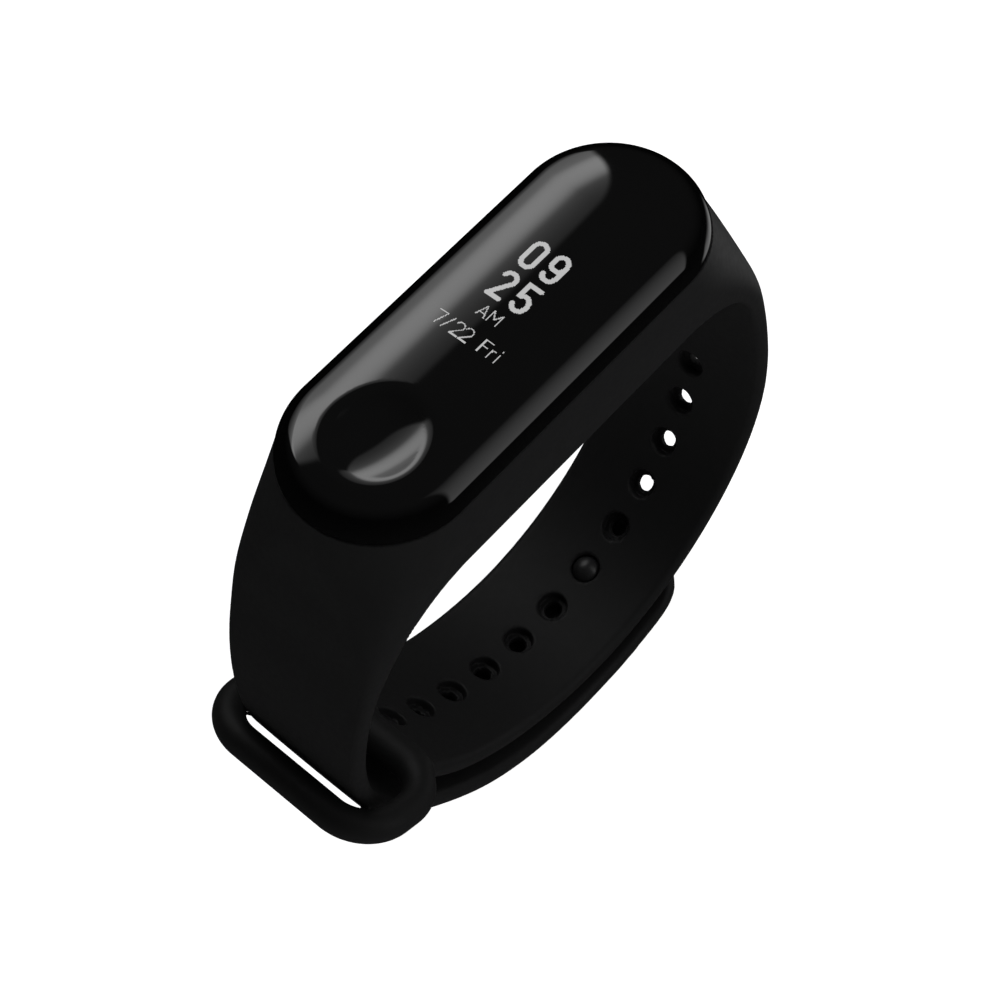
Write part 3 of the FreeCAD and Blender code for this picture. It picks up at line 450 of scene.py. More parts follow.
def surface_of(field, low, high, pitch):
    """Vertices and quads of a field's zero surface, by surface nets, pulled on to the surface."""
    low = np.asarray(low, float)
    counts = np.ceil((np.asarray(high) - low) / pitch).astype(int) + 1
    values = lattice_values(field, low, counts, pitch)
    size = np.array(values.shape)
    solid = values < 0
    corners = [(i, j, k) for i in (0, 1) for j in (0, 1) for k in (0, 1)]
    count = sum(solid[tuple(slice(c, n - 1 + c) for c, n in zip(corner, size))].astype(np.int8)
                for corner in corners)
    cells = np.argwhere((count > 0) & (count < len(corners)))
    number = np.full(size - 1, -1, np.int64)
    number[tuple(cells.T)] = np.arange(len(cells))

    points = low + cell_centres(values, cells, corners) * pitch
    for _ in range(PULL_ROUNDS):
        slope = slopes_of(field, points)
        steepness = np.maximum((slope ** 2).sum(1), LEAST_STEEPNESS)
        move = -(field(points) / steepness)[:, None] * slope
        points = points + np.clip(move, -pitch / 2, pitch / 2)
    return points, cell_quads(solid, number)


# ---------- making objects

def new_object(name, points, faces, corner_normals):
    """A mesh object from capsule-frame points, shaded by a normal for each face corner."""
    mesh = bpy.data.meshes.new(name)
    mesh.from_pydata(placed(points).tolist(), [], [list(face) for face in faces])
    mesh.polygons.foreach_set("use_smooth", [True] * len(mesh.polygons))
    mesh.update()
    mesh.normals_split_custom_set(np.asarray(corner_normals, float).tolist())
    made = bpy.data.objects.new(name, mesh)
    scene.collection.objects.link(made)
    return made


def swept_object(name, rows, row_normals):
    """A closed mesh from rows of points round a shape, joined where points meet."""
    points = np.concatenate(rows)
    normals = np.concatenate(row_normals)
    around = len(rows[0])
    _, first, welded = np.unique(np.round(points, 5), axis=0, return_index=True,
                                 return_inverse=True)
    welded = welded.ravel()
    faces = []
    corner_normals = []
    for row in range(0, (len(rows) - 1) * around, around):
        for j in range(around):
            ahead = (j + 1) % around
            quad = (row + j, row + around + j, row + around + ahead, row + ahead)
            corners = []
            for corner in quad:
                if welded[corner] not in [welded[other] for other in corners]:
                    corners.append(corner)
            if len(corners) < 3:
                continue
            faces.append([welded[corner] for corner in corners])
            corner_normals.extend(normals[corner] for corner in corners)
    lengths = np.linalg.norm(corner_normals, axis=1)[:, None]
    return new_object(name, points[first], faces, np.array(corner_normals) / lengths)


def cut_tail(points, quads):
    """Split the strap where its tail starts to bend; each piece is (points, faces, is_cap)."""
    bm = bmesh.new()
    for point in points:
        bm.verts.new(point)
    bm.verts.ensure_lookup_table()
    for quad in quads:
        bm.faces.new([bm.verts[k] for k in quad])
    bm.faces.ensure_lookup_table()
    cap_layer = bm.faces.layers.int.new("cap")

    for distance in (TAIL_CUT, TAIL_SPLIT):
        centres = np.array([face.calc_center_median() for face in bm.faces])
        hole_side, button_side = strap_layers(centres)
        along, _ = button_arm.unroll(centres[:, 0], centres[:, 2])
        near = (button_side < hole_side) & (np.abs(along - distance) < CUT_REACH)
        chosen = [face for face, is_near in zip(list(bm.faces), near) if is_near]
        edges = {edge for face in chosen for edge in face.edges}
        verts = {vert for face in chosen for vert in face.verts}
        middle, heading, _ = button_arm.at(distance, MID_DEPTH)
        result = bmesh.ops.bisect_plane(
            bm, geom=chosen + list(edges) + list(verts), plane_co=(middle[0], 0.0, middle[1]),
            plane_no=(math.cos(heading), 0.0, math.sin(heading)), dist=1e-4)
        rim = [item for item in result["geom_cut"] if isinstance(item, bmesh.types.BMEdge)]
        bmesh.ops.split_edges(bm, edges=rim)
        open_edges = [edge for edge in bm.edges if edge.is_boundary]
        for face in bmesh.ops.holes_fill(bm, edges=open_edges, sides=0)["faces"]:
            face[cap_layer] = 1
    bmesh.ops.recalc_face_normals(bm, faces=[face for face in bm.faces if face[cap_layer]])

    bm.verts.index_update()
    bm.verts.ensure_lookup_table()
    piece_of = {}
    pieces = []
    for start in bm.verts:
        if start.index in piece_of:
            continue
        piece_of[start.index] = len(pieces)
        waiting = [start]
        while waiting:
            for edge in waiting.pop().link_edges:
                for vert in edge.verts:
                    if vert.index not in piece_of:
                        piece_of[vert.index] = len(pieces)
                        waiting.append(vert)
        pieces.append(([], [], [], {}))
    for vert in bm.verts:
        spots, _, _, renumbered = pieces[piece_of[vert.index]]
        renumbered[vert.index] = len(spots)
        spots.append(vert.co[:])
    for face in bm.faces:
        _, faces, caps, renumbered = pieces[piece_of[face.verts[0].index]]
        faces.append([renumbered[vert.index] for vert in face.verts])
        caps.append(face[cap_layer])
    bm.free()
    return [(np.array(spots), faces, caps) for spots, faces, caps, _ in pieces]


def strap_piece(name, points, faces, caps):
    """One length of the strap, shaded by its field's own gradient except on the cut ends."""
    slopes = slopes_of(strap_field, points)
    slopes /= np.linalg.norm(slopes, axis=1)[:, None]
    corner_normals = []
    for face, is_cap in zip(faces, caps):
        if is_cap:
            a, b, c = (points[face[k]] for k in (0, len(face) // 3, 2 * len(face) // 3))
            flat = np.cross(b - a, c - a)
            corner_normals.extend([flat / np.linalg.norm(flat)] * len(face))
        else:
            corner_normals.extend(slopes[face])
    return new_object(name, points, faces, corner_normals)


def distance_along(piece):
    """Distance along the button arm of the middle of a piece."""
    x, _, z = piece[0].mean(0)
    return button_arm.unroll(x, z)[0]


def make_strap():
    """The one-piece silicone strap, cut only where its tail bends away."""
    pieces = cut_tail(*surface_of(strap_field, STRAP_LOW, STRAP_HIGH, FINE))
    pieces.sort(key=lambda piece: len(piece[0]))
    root, tip = sorted(pieces[:2], key=distance_along)
    main = strap_piece("strap_main", *pieces[2])
    tail_root = strap_piece("strap_tail_root", *root)
    tail_tip = strap_piece("strap_tail_tip", *tip)

    def spot(along):
        x, z = button_arm.at(along, MID_DEPTH)[0]
        return placed((x, 0.0, z))

    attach(main, "strap")
    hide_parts("strap_cradle", "hole_arm_upper", "hole_arm_lower", "keeper_loop",
                "button_arm", "tail_root")
    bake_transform(tail_root)
    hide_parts("tail_middle")
    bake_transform(tail_tip)
    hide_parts("tail_tip")
    return [main, tail_root, tail_tip]


# ---------- capsule cover

RIM = CAPSULE_WIDTH / 2
HALF_STRAIGHT = (CAPSULE_LENGTH - CAPSULE_WIDTH) / 2
EDGE_CENTRE = RIM - EDGE_RADIUS
CROWN_SLOPE = math.asin(CROWN_REACH / CROWN_RADIUS)
SHOULDER = EDGE_CENTRE + EDGE_RADIUS * math.sin(CROWN_SLOPE)
CROWN_TOP = EDGE_RADIUS * math.cos(CROWN_SLOPE) + CROWN_RADIUS * (1 - math.cos(CROWN_SLOPE))
DIMPLE_RADIUS = (DIMPLE_REACH ** 2 + DIMPLE_DEPTH ** 2) / (2 * DIMPLE_DEPTH)
DIMPLE_RIM_ROUND = 0.25
# The dimple's bowl counts up to this many times its reach, and is lifted clear beyond that.
DIMPLE_ZONE = 1.6
CLEAR_OF_CROWN = 5.0
COVER_TUCK = 0.62
COVER_LEDGE = 0.6
STRAIGHT_STEPS = 90
ROUND_STEPS = 90
CROWN_ROWS = 34
EDGE_ROWS = 20


def crown_height(x, y):
    """Height of the cover's gentle crown, with its dimple sunk in by a soft rim."""
    spread = np.hypot(np.maximum(np.abs(x) - HALF_STRAIGHT, 0.0), y)
    crown = CROWN_TOP - CROWN_RADIUS + np.sqrt(CROWN_RADIUS ** 2 - spread ** 2)
    away = np.hypot(x - DIMPLE_X, y)
    bowl = (CROWN_TOP - DIMPLE_DEPTH + DIMPLE_RADIUS
            - np.sqrt(np.maximum(DIMPLE_RADIUS ** 2 - away ** 2, 1.0)))
    bowl = np.where(away > DIMPLE_REACH * DIMPLE_ZONE, CROWN_TOP + CLEAR_OF_CROWN, bowl)
    share = np.clip(0.5 + 0.5 * (bowl - crown) / DIMPLE_RIM_ROUND, 0.0, 1.0)
    return bowl + (crown - bowl) * share - DIMPLE_RIM_ROUND * share * (1 - share)


def crown_normals(x, y, step=1e-3):
    """Normals of the crown, not yet of length one."""
    slope_x = (crown_height(x + step, y) - crown_height(x - step, y)) / (2 * step)
    slope_y = (crown_height(x, y + step) - crown_height(x, y - step)) / (2 * step)
    return np.column_stack([-slope_x, -slope_y, np.ones(len(x))])


def ring(distance):
    """Points of a slot outline a distance out from the capsule's middle line, and facings."""
    line = np.linspace(-HALF_STRAIGHT, HALF_STRAIGHT, STRAIGHT_STEPS, endpoint=False)
    turn = np.linspace(-math.pi / 2, math.pi / 2, ROUND_STEPS, endpoint=False)
    south = np.stack([line, np.full_like(line, -distance)], 1)
    east = np.stack([HALF_STRAIGHT + distance * np.cos(turn), distance * np.sin(turn)], 1)
    out = np.concatenate([south, east])
    facing = np.concatenate([np.tile([0.0, -1.0], (STRAIGHT_STEPS, 1)),
                             np.stack([np.cos(turn), np.sin(turn)], 1)])
    return np.concatenate([out, -out]), np.concatenate([facing, -facing])


def level_row(distance, level, outward, upward):
    """A ring of the cover at one level, and its normals."""
    flat, facing = ring(distance)
    return (np.column_stack([flat, np.full(len(flat), level)]),
            np.column_stack([facing * outward, np.full(len(flat), float(upward))]))


def make_cover():
    """Glossy one-piece cover: crown, rounded edge and skirt outside, pocket inside."""
    rows = []
    for distance in np.linspace(0.0, SHOULDER, CROWN_ROWS):
        flat, _ = ring(distance)
        x, y = flat.T
        rows.append((np.column_stack([flat, crown_height(x, y)]), crown_normals(x, y)))
    for angle in np.linspace(CROWN_SLOPE, math.pi / 2, EDGE_ROWS)[1:]:
        rows.append(level_row(EDGE_CENTRE + EDGE_RADIUS * math.sin(angle),
                              EDGE_RADIUS * math.cos(angle), math.sin(angle), math.cos(angle)))
    # From the widest outline down, tucked in under it, and back up inside.
    pocket = RIM - COVER_WALL
    ledge = pocket - COVER_LEDGE
    tuck = RIM - COVER_TUCK
    foot = -SKIRT_DEPTH
    profile = (
        (RIM - 0.1, -0.07, 0.7, -0.7),
        (tuck, -0.1, 0, -1), (tuck, -0.1, 1, 0),
        (tuck, foot, 1, 0), (tuck, foot, 0, -1),
        (pocket, foot, 0, -1), (pocket, foot, -1, 0),
        (pocket, 0.0, -1, 0), (pocket, 0.0, 0, -1),
        (ledge, 0.0, 0, -1), (ledge, 0.0, -1, 0),
        (ledge, WINDOW_LEVEL, -1, 0), (ledge, WINDOW_LEVEL, 0, -1),
        (0.0, WINDOW_LEVEL, 0, -1))
    rows += [level_row(*row) for row in profile]
    cover = swept_object("capsule_cover", [row[0] for row in rows], [row[1] for row in rows])
    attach(cover, "capsule")
    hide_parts("cover_lens")
    return cover


# ---------- closing stud

STUD_HEAD_RADIUS = 1.5
STUD_SHANK_RADIUS = 0.9
STUD_HEAD_HEIGHT = 1.25
STUD_DOME_RISE = 0.95
STUD_LIP = 0.12
STUD_LIP_LEVEL = 0.14
STUD_CAP_RADIUS = 2.3
STUD_CAP_HEIGHT = 0.6
STUD_CAP_PROUD = 0.15
STUD_CAP_ROUND = 0.3
TAIL_THICKNESS = 1.9
STUD_PROUD = 0.35
HALVINGS = 50


def stud_distance():
    """Distance along the button arm at which its stud faces the hole in use."""
    hole, _, outward = hole_arm.at(FIRST_HOLE + HOLE_IN_USE * HOLE_PITCH)
    sideways = np.array([-outward[1], outward[0]])
    low, high = TIP_HINGE, button_arm.length
    far = (button_arm.at(high)[0] - hole) @ sideways
    for _ in range(HALVINGS):
        middle = (low + high) / 2
        if ((button_arm.at(middle)[0] - hole) @ sideways) * far > 0:
            high = middle
        else:
            low = middle
    return (low + high) / 2


def turned_object(name, profile, steps=96):
    """A turned piece on the stud's axis, from rounded (radius, height) points going outwards."""
    foot, _, outward = button_arm.at(stud_distance())
    axis = np.array([-outward[0], 0.0, -outward[1]])
    aside = np.array([axis[2], 0.0, -axis[0]])
    across = np.array([0.0, 1.0, 0.0])
    turn = np.linspace(0, 2 * math.pi, steps, endpoint=False)[:, None]
    spokes = np.cos(turn) * aside + np.sin(turn) * across
    if np.dot(np.cross(aside, across), axis) < 0:
        spokes = spokes[::-1]
    centre = np.array([foot[0], 0.0, foot[1]])
    rows = []
    row_normals = []
    for radius, height, out, up in profile:
        rows.append(centre + spokes * radius + axis * height)
        row_normals.append(spokes * out + axis * up)
    return swept_object(name, rows, row_normals)


def bend(centre_radius, centre_height, radius, start, stop, steps):
    """Profile points round an arc, in degrees from straight out towards straight up."""
    return [(centre_radius + radius * math.cos(angle), centre_height + radius * math.sin(angle),
             math.cos(angle), math.sin(angle))
            for angle in np.radians(np.linspace(start, stop, steps))]


def make_stud():
    """Mushroom-shaped closing stud through the tail, and its cap outside."""
    hole, _, _ = hole_arm.at(FIRST_HOLE + HOLE_IN_USE * HOLE_PITCH)
    foot, _, _ = button_arm.at(stud_distance())
    top = float(np.linalg.norm(hole - foot)) + STUD_PROUD
    under = top - STUD_HEAD_HEIGHT
    dome = (STUD_HEAD_RADIUS ** 2 + STUD_DOME_RISE ** 2) / (2 * STUD_DOME_RISE)
    rim_angle = math.degrees(math.acos(STUD_HEAD_RADIUS / dome))
    base = STUD_CAP_HEIGHT - TAIL_THICKNESS
    profile = [(0.0, top, 0, 1)]
    profile += bend(0.0, top - dome, dome, 89.0, rim_angle + 6, 28)
    profile += bend(STUD_HEAD_RADIUS - STUD_LIP, under + STUD_LIP_LEVEL, STUD_LIP, 20, -90, 10)
    profile += [(STUD_SHANK_RADIUS, under, 0, -1), (STUD_SHANK_RADIUS, under, 1, 0),
                (STUD_SHANK_RADIUS, base, 1, 0), (STUD_SHANK_RADIUS, base, 0, -1),
                (0.0, base, 0, -1)]
    stud = turned_object("stud_head", profile)
    low = -TAIL_THICKNESS - STUD_CAP_PROUD
    rim = STUD_CAP_ROUND
    profile = [(0.0, base, 0, 1), (STUD_CAP_RADIUS, base, 0, 1), (STUD_CAP_RADIUS, base, 1, 0)]
    profile += bend(STUD_CAP_RADIUS - rim, low + rim, rim, 0, -90, 12)
    profile += [(0.0, low, 0, -1)]
    cap = turned_object("stud_cap", profile)
    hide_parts("closing_stud")
    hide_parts("closing_stud_cap")
    for piece in (stud, cap):
        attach(piece, "tail_tip")
    return [stud, cap]


# ---------- display readout

PIXEL = 0.09
READOUT_PROUD = 0.012
READOUT_SUNK = 0.03
# The readout is read along -Y. Large digits: character, left edge towards +Y and foot towards +X.
# Small characters: also their width and height.
LARGE_SIZE = (1.26, 2.82)
LARGE_HALF_STROKE = 0.225
LARGE_CHARACTERS = (("0", 2.37, 5.41), ("9", -0.01, 5.41), ("2", 2.37, 1.47), ("5", -0.01, 1.47))
SMALL_HALF_STROKE = 0.05
SMALL_CHARACTERS = (
    ("A", 1.66, -0.8, 0.86, 1.24), ("M", 0.48, -0.8, 0.98, 1.24),
    ("7", 4.3, -3.6, 0.94, 1.4), ("/", 3.14, -3.6, 0.8, 1.4), ("2", 2.14, -3.6, 0.84, 1.4),
    ("2", 1.14, -3.6, 0.84, 1.4), ("F", -0.9, -3.6, 0.76, 1.4), ("r", -1.96, -3.6, 0.5, 1.4),
    ("i", -2.72, -3.6, 0.1, 1.4))


def arc(x, y, radius, start, stop, steps=9):
    """Points round an arc, angles in degrees."""
    return [(x + radius * math.cos(angle), y + radius * math.sin(angle))
            for angle in np.radians(np.linspace(start, stop, steps))]


def strokes_of(letter, w, h):
    """Centre lines of a character in a box w wide and h high; any other character is an i."""
    r = w / 2
    if letter == "0":
        return [arc(r, h - r, r, 0, 180) + arc(r, r, r, 180, 360) + [(w, h - r)]]
    if letter == "2":
        return [arc(r, h - r, r, 165, -25) + [(0, 0), (w, 0)]]
    if letter == "5":
        return [[(w, h), (0, h), (0, h * 0.5)] + arc(r, h * 0.58 - r, r, 140, 0)
                + arc(r, r, r, 0, -165)]
    if letter == "7":
        return [[(0, h), (w, h), (w * 0.45, 0)]]
    if letter == "9":
        loop = h * 0.44
        return [arc(r, h - r, r, 0, 180) + arc(r, loop + r, r, 180, 340), [(w, h - r)]
                + arc(r, r, r, 0, -165)]
    if letter == "/":
        return [[(0, 0), (w * 0.75, h)]]
    if letter == "A":
        return [[(0, 0), (r, h), (w, 0)], [(w * 0.15, h * 0.3), (w * 0.85, h * 0.3)]]
    if letter == "M":
        return [[(0, 0), (0, h), (r, h * 0.35), (w, h), (w, 0)]]
    if letter == "F":
        return [[(0, 0), (0, h), (w, h)], [(0, h * 0.52), (w * 0.8, h * 0.52)]]
    if letter == "r":
        return [[(0, 0), (0, h * 0.68)], arc(w * 0.55, h * 0.68 - w * 0.55, w * 0.55, 180, 80)]
    return [[(0, 0), (0, h * 0.66)], [(0, h * 0.92), (0, h)]]


def distance_to_line(x, y, a, b):
    """Distance to the straight piece from a to b."""
    ab = np.subtract(b, a)
    share = np.clip(((x - a[0]) * ab[0] + (y - a[1]) * ab[1]) / max(ab @ ab, 1e-9), 0, 1)
    return np.hypot(x - a[0] - share * ab[0], y - a[1] - share * ab[1])


def lit_pixels(letter, left, foot, w, h, half_stroke):
    """Display pixels, as (column, row) pairs, that a character lights."""
    margin = half_stroke + PIXEL
    spans = [np.arange(math.floor((low - margin) / PIXEL), math.ceil((high + margin) / PIXEL) + 1)
             for low, high in ((left, left + w), (foot, foot + h))]
    column, row = np.meshgrid(*spans, indexing="ij")
    x = (column + 0.5) * PIXEL - left
    y = (row + 0.5) * PIXEL - foot
    away = np.full(x.shape, 1e9)
    for stroke in strokes_of(letter, w, h):
        for a, b in zip(stroke[:-1], stroke[1:]):
            away = np.minimum(away, distance_to_line(x, y, a, b))
    lit = away < half_stroke
    return set(zip(column[lit].tolist(), row[lit].tolist()))


def make_readout():
    """Time and date, lit pixel by pixel just above the cover."""
    lit = set()
    for letter, left, foot in LARGE_CHARACTERS:
        lit |= lit_pixels(letter, -left, foot, *LARGE_SIZE, LARGE_HALF_STROKE)
    for letter, left, foot, w, h in SMALL_CHARACTERS:
        lit |= lit_pixels(letter, -left, foot, w, h, SMALL_HALF_STROKE)

    points = []
    numbers = {}
    faces = []

    def corner(column, row, top):
        key = (column, row, top)
        if key not in numbers:
            numbers[key] = len(points)
            x, y = row * PIXEL, -column * PIXEL
            height = float(crown_height(np.array(x), np.array(y)))
            points.append((x, y, height + (READOUT_PROUD if top else -READOUT_SUNK)))
        return numbers[key]

    for column, row in sorted(lit):
        loop = ((column, row), (column + 1, row), (column + 1, row + 1), (column, row + 1))
        faces.append([corner(*at, True) for at in loop])
        faces.append([corner(*at, False) for at in reversed(loop)])
        beside = ((column, row - 1), (column + 1, row), (column, row + 1), (column - 1, row))
        for k, neighbour in enumerate(beside):
            if neighbour not in lit:
                a, b = loop[k], loop[(k + 1) % 4]
                faces.append([corner(*b, True), corner(*a, True), corner(*a, False),
                              corner(*b, False)])
    points = np.array(points)
    corner_normals = []
    for face in faces:
        a, b, c = points[face[0]], points[face[1]], points[face[2]]
        flat = np.cross(b - a, c - a)
        corner_normals.extend([flat / np.linalg.norm(flat)] * 4)
    readout = new_object("display_readout", points, faces, corner_normals)
    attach(readout, "capsule")
    return readout


# ---------- materials

WHITE = (1.0, 1.0, 1.0, 1.0)
PATCH_MARKS = (0.35, 0.65)  # noise values at which the first and the second colour are full
SMEAR_SHARE = 0.37
READOUT_GLOW = 0.47


def grey(level):
    """A grey with a touch of blue."""
    return (level, level, level * 1.03)


# Name: first colour, second colour, patch size, grain size and grain height in millimetres, and the
# range of roughness.
SURFACES = {
    "strap_silicone": (grey(0.0096), grey(0.0102), 1.6, 0.09, 0.004, (0.54, 0.6)),
    "cover_gloss": (grey(0.0028), grey(0.0034), 12.0, 1.2, 0.0002, (0.035, 0.06)),
    "shell_plastic": (grey(0.009), grey(0.011), 4.0, 0.12, 0.006, (0.4, 0.5)),
    "stud_gloss": (grey(0.017), grey(0.021), 2.0, 0.15, 0.0008, (0.34, 0.42)),
    "display_glass": (grey(0.004), (0.003, 0.004, 0.007), 3.0, 0.5, 0.0003, (0.03, 0.07)),
    "clear_adhesive": ((0.55, 0.55, 0.52), (0.62, 0.62, 0.6), 1.5, 0.2, 0.003, (0.15, 0.3)),
    "copper_flex": ((0.5, 0.22, 0.05), (0.62, 0.32, 0.1), 0.8, 0.1, 0.004, (0.3, 0.42)),
    "frame_plastic": (grey(0.03), grey(0.042), 3.0, 0.1, 0.005, (0.45, 0.6)),
    "board_laminate": ((0.012, 0.09, 0.035), (0.02, 0.13, 0.05), 0.7, 0.12, 0.004, (0.28, 0.42)),
    "chip_epoxy": (grey(0.02), grey(0.032), 0.5, 0.05, 0.004, (0.5, 0.65)),
    "plated_steel": ((0.6, 0.6, 0.58), (0.68, 0.68, 0.66), 1.5, 0.08, 0.002, (0.22, 0.36)),
    "tungsten": (grey(0.26), grey(0.34), 0.6, 0.06, 0.004, (0.4, 0.55)),
    "cell_pouch": (grey(0.62), grey(0.74), 3.0, 0.6, 0.02, (0.3, 0.45)),
    "foam": (grey(0.05), grey(0.11), 0.3, 0.15, 0.05, (0.8, 0.95)),
    "seal_rubber": (grey(0.05), grey(0.07), 1.5, 0.1, 0.005, (0.55, 0.7)),
    "sensor_glass": ((0.008, 0.004, 0.004), (0.012, 0.006, 0.006), 2.0, 0.6, 0.0003, (0.03, 0.06)),
    "led": ((0.35, 0.7, 0.35), (0.5, 0.82, 0.45), 0.4, 0.08, 0.002, (0.12, 0.2)),
    "gold_contact": ((0.85, 0.6, 0.2), (0.92, 0.68, 0.28), 0.5, 0.05, 0.002, (0.16, 0.3)),
    "display_pixels": (grey(0.05), grey(0.09), 0.3, 0.12, 0.003, (0.35, 0.5)),
}
# What differs from a plain plastic, by the shader's own names.
SPECIAL = {
    "strap_silicone": {"Specular IOR Level": 0.28},
    "plated_steel": {"Metallic": 1.0},
    "tungsten": {"Metallic": 1.0},
    "cell_pouch": {"Metallic": 1.0},
    "sensor_glass": {"Coat Weight": 0.5},
    "gold_contact": {"Metallic": 1.0},
    "display_pixels": {"Specular IOR Level": 0.3, "Emission Color": WHITE,
                       "Emission Strength": READOUT_GLOW},
}
GRAIN_STRENGTH = {"cover_gloss": 0.3}


def new_material(name):
    """A node material, with its nodes, links and shader."""
    material = bpy.data.materials.new(name)
    material.use_nodes = True
    nodes = material.node_tree.nodes
    return material, nodes, material.node_tree.links, nodes["Principled BSDF"]


def noise(nodes, links, grain_mm, detail):
    """Noise whose grain has a size in millimetres, over the object's own coordinates."""
    place = nodes.new("ShaderNodeTexCoord")
    texture = nodes.new("ShaderNodeTexNoise")
    texture.inputs["Scale"].default_value = 1.0 / (grain_mm * MM)
    texture.inputs["Detail"].default_value = detail
    links.new(place.outputs["Object"], texture.inputs["Vector"])
    return texture.outputs["Fac"]


def spread(nodes, links, value, low, high, source=(0.3, 0.7)):
    """Map a value from the source range on to another range."""
    ramp = nodes.new("ShaderNodeMapRange")
    limits = {"From Min": source[0], "From Max": source[1], "To Min": low, "To Max": high}
    for name, limit in limits.items():
        ramp.inputs[name].default_value = limit
    links.new(value, ramp.inputs["Value"])
    return ramp.outputs["Result"]


def blend_colours(nodes, links, value, *colours):
    """Fade between two colours by a noise value."""
    ramp = nodes.new("ShaderNodeValToRGB")
    for element, mark, colour in zip(ramp.color_ramp.elements, PATCH_MARKS, colours):
        element.position = mark
        element.color = (*colour, 1.0)
    links.new(value, ramp.inputs["Fac"])
    return ramp.outputs["Color"]


def moulded(name, first, second, patch_mm, grain_mm, grain_height_mm, roughness):
    """A surface with broad colour patches, fine grain and uneven roughness."""
    material, nodes, links, shader = new_material(name)
    patches = noise(nodes, links, patch_mm, 4.0)
    grain = noise(nodes, links, grain_mm, 2.0)
    links.new(blend_colours(nodes, links, patches, first, second), shader.inputs["Base Color"])
    smears = noise(nodes, links, patch_mm * SMEAR_SHARE, 6.0)
    links.new(spread(nodes, links, smears, *roughness), shader.inputs["Roughness"])
    relief = nodes.new("ShaderNodeBump")
    relief.inputs["Strength"].default_value = GRAIN_STRENGTH.get(name, 1.0)
    relief.inputs["Distance"].default_value = grain_height_mm * MM
    links.new(grain, relief.inputs["Height"])
    links.new(relief.outputs["Normal"], shader.inputs["Normal"])
    for setting, value in SPECIAL.get(name, {}).items():
        shader.inputs[setting].default_value = value
    return material


def paint(item, slot_name):
    """Give a whole piece one material."""
    item.data.materials.clear()
    item.data.materials.append(materials[slot_name])


# ---------- stage, lights and camera

FLOOR_REACH = 3.0
FLOOR_GRAIN = 3.0
FLOOR_COLOURS = ((0.86, 0.86, 0.86), (0.9, 0.9, 0.9))
FLOOR_ROUGHNESS = 0.9
FLOOR_GLOW = 0.95
WORLD_GLOW = 0.07
WORLD_BRIGHT_SIDE = (0.35, 0.2, 0.9)
WORLD_FADE = (0.45, 0.97)
LIGHT_TARGET = (0.0, 0.0, 2.0)

# Softboxes. Each lies in the plane at right angles to facing, a distance in metres from the target.
# across and along are its two pairs of limits, along the capsule's X axis and along rise, as shares
# of the distance. levels are (place from the top, brightness) pairs. corner is the radius of its
# corners and soft the width of its soft edge, in metres.
SOFTBOXES = {
    "side_light": dict(
        facing=(0, 0.8, 0.6), rise=(0, -0.6, 0.8), distance=0.25,
        across=(-0.12, 0.87), along=(-0.46, 0.48), corner=0.085, soft=0.012,
        levels=((0.0, 0.2), (0.18, 0.8), (0.32, 3.8), (0.4, 1.9), (0.55, 0.95), (0.75, 0.3),
                (0.88, 0.0), (1.0, 0.0))),
    "front_light": dict(
        facing=(0, -0.6, 0.8), rise=(0, 0.8, 0.6), distance=0.6,
        across=(0.2, 0.76), along=(-0.9, 0.88), corner=0.12, soft=0.06,
        levels=((0.0, 0.0), (0.25, 0.35), (0.6, 0.85), (1.0, 1.15))),
    "end_light": dict(
        facing=(0.95, -0.08, -0.3), rise=(0.3, 0, 0.95), distance=0.09,
        across=(-0.5, 0.12), along=(-0.42, 0.2), corner=0.02, soft=0.01,
        levels=((0.0, 0.0), (0.2, 0.25), (0.5, 0.75), (1.0, 0.4))),
    "fill_light": dict(
        facing=(-0.1, -0.88, 0.45), rise=(0, 0.45, 0.88), distance=0.6,
        across=(-0.5, 0.5), along=(-0.5, 0.5), corner=0.1, soft=0.05,
        levels=((0.0, 0.75), (1.0, 0.75))),
}

CAMERA_PLACE = (-81.1, -80.43, 167.92)
CAMERA_RIGHT = (0.6588, -0.7513, -0.0406)
CAMERA_AHEAD = (0.3558, 0.3587, -0.863)
CAMERA_LENS = 86.4
CAMERA_SENSOR = 36.0
CAMERA_NEAR = 0.01


def placing(x_axis, y_axis, z_axis, place):
    """Matrix that puts an object's axes and origin where they are asked for."""
    return Matrix((*zip(x_axis, y_axis, z_axis, place), (0, 0, 0, 1)))


def make_floor():
    """Plain pale floor that also glows a little."""
    r = FLOOR_REACH
    mesh = bpy.data.meshes.new("floor")
    mesh.from_pydata([(-r, -r, 0), (r, -r, 0), (r, r, 0), (-r, r, 0)], [], [(0, 1, 2, 3)])
    floor = bpy.data.objects.new("floor", mesh)
    scene.collection.objects.link(floor)
    material, nodes, links, shader = new_material("floor_paper")
    grain = noise(nodes, links, FLOOR_GRAIN, 4.0)
    links.new(blend_colours(nodes, links, grain, *FLOOR_COLOURS), shader.inputs["Base Color"])
    shader.inputs["Roughness"].default_value = FLOOR_ROUGHNESS
    shader.inputs["Emission Color"].default_value = WHITE
    shader.inputs["Emission Strength"].default_value = FLOOR_GLOW
    mesh.materials.append(material)
    floor.visible_glossy = False


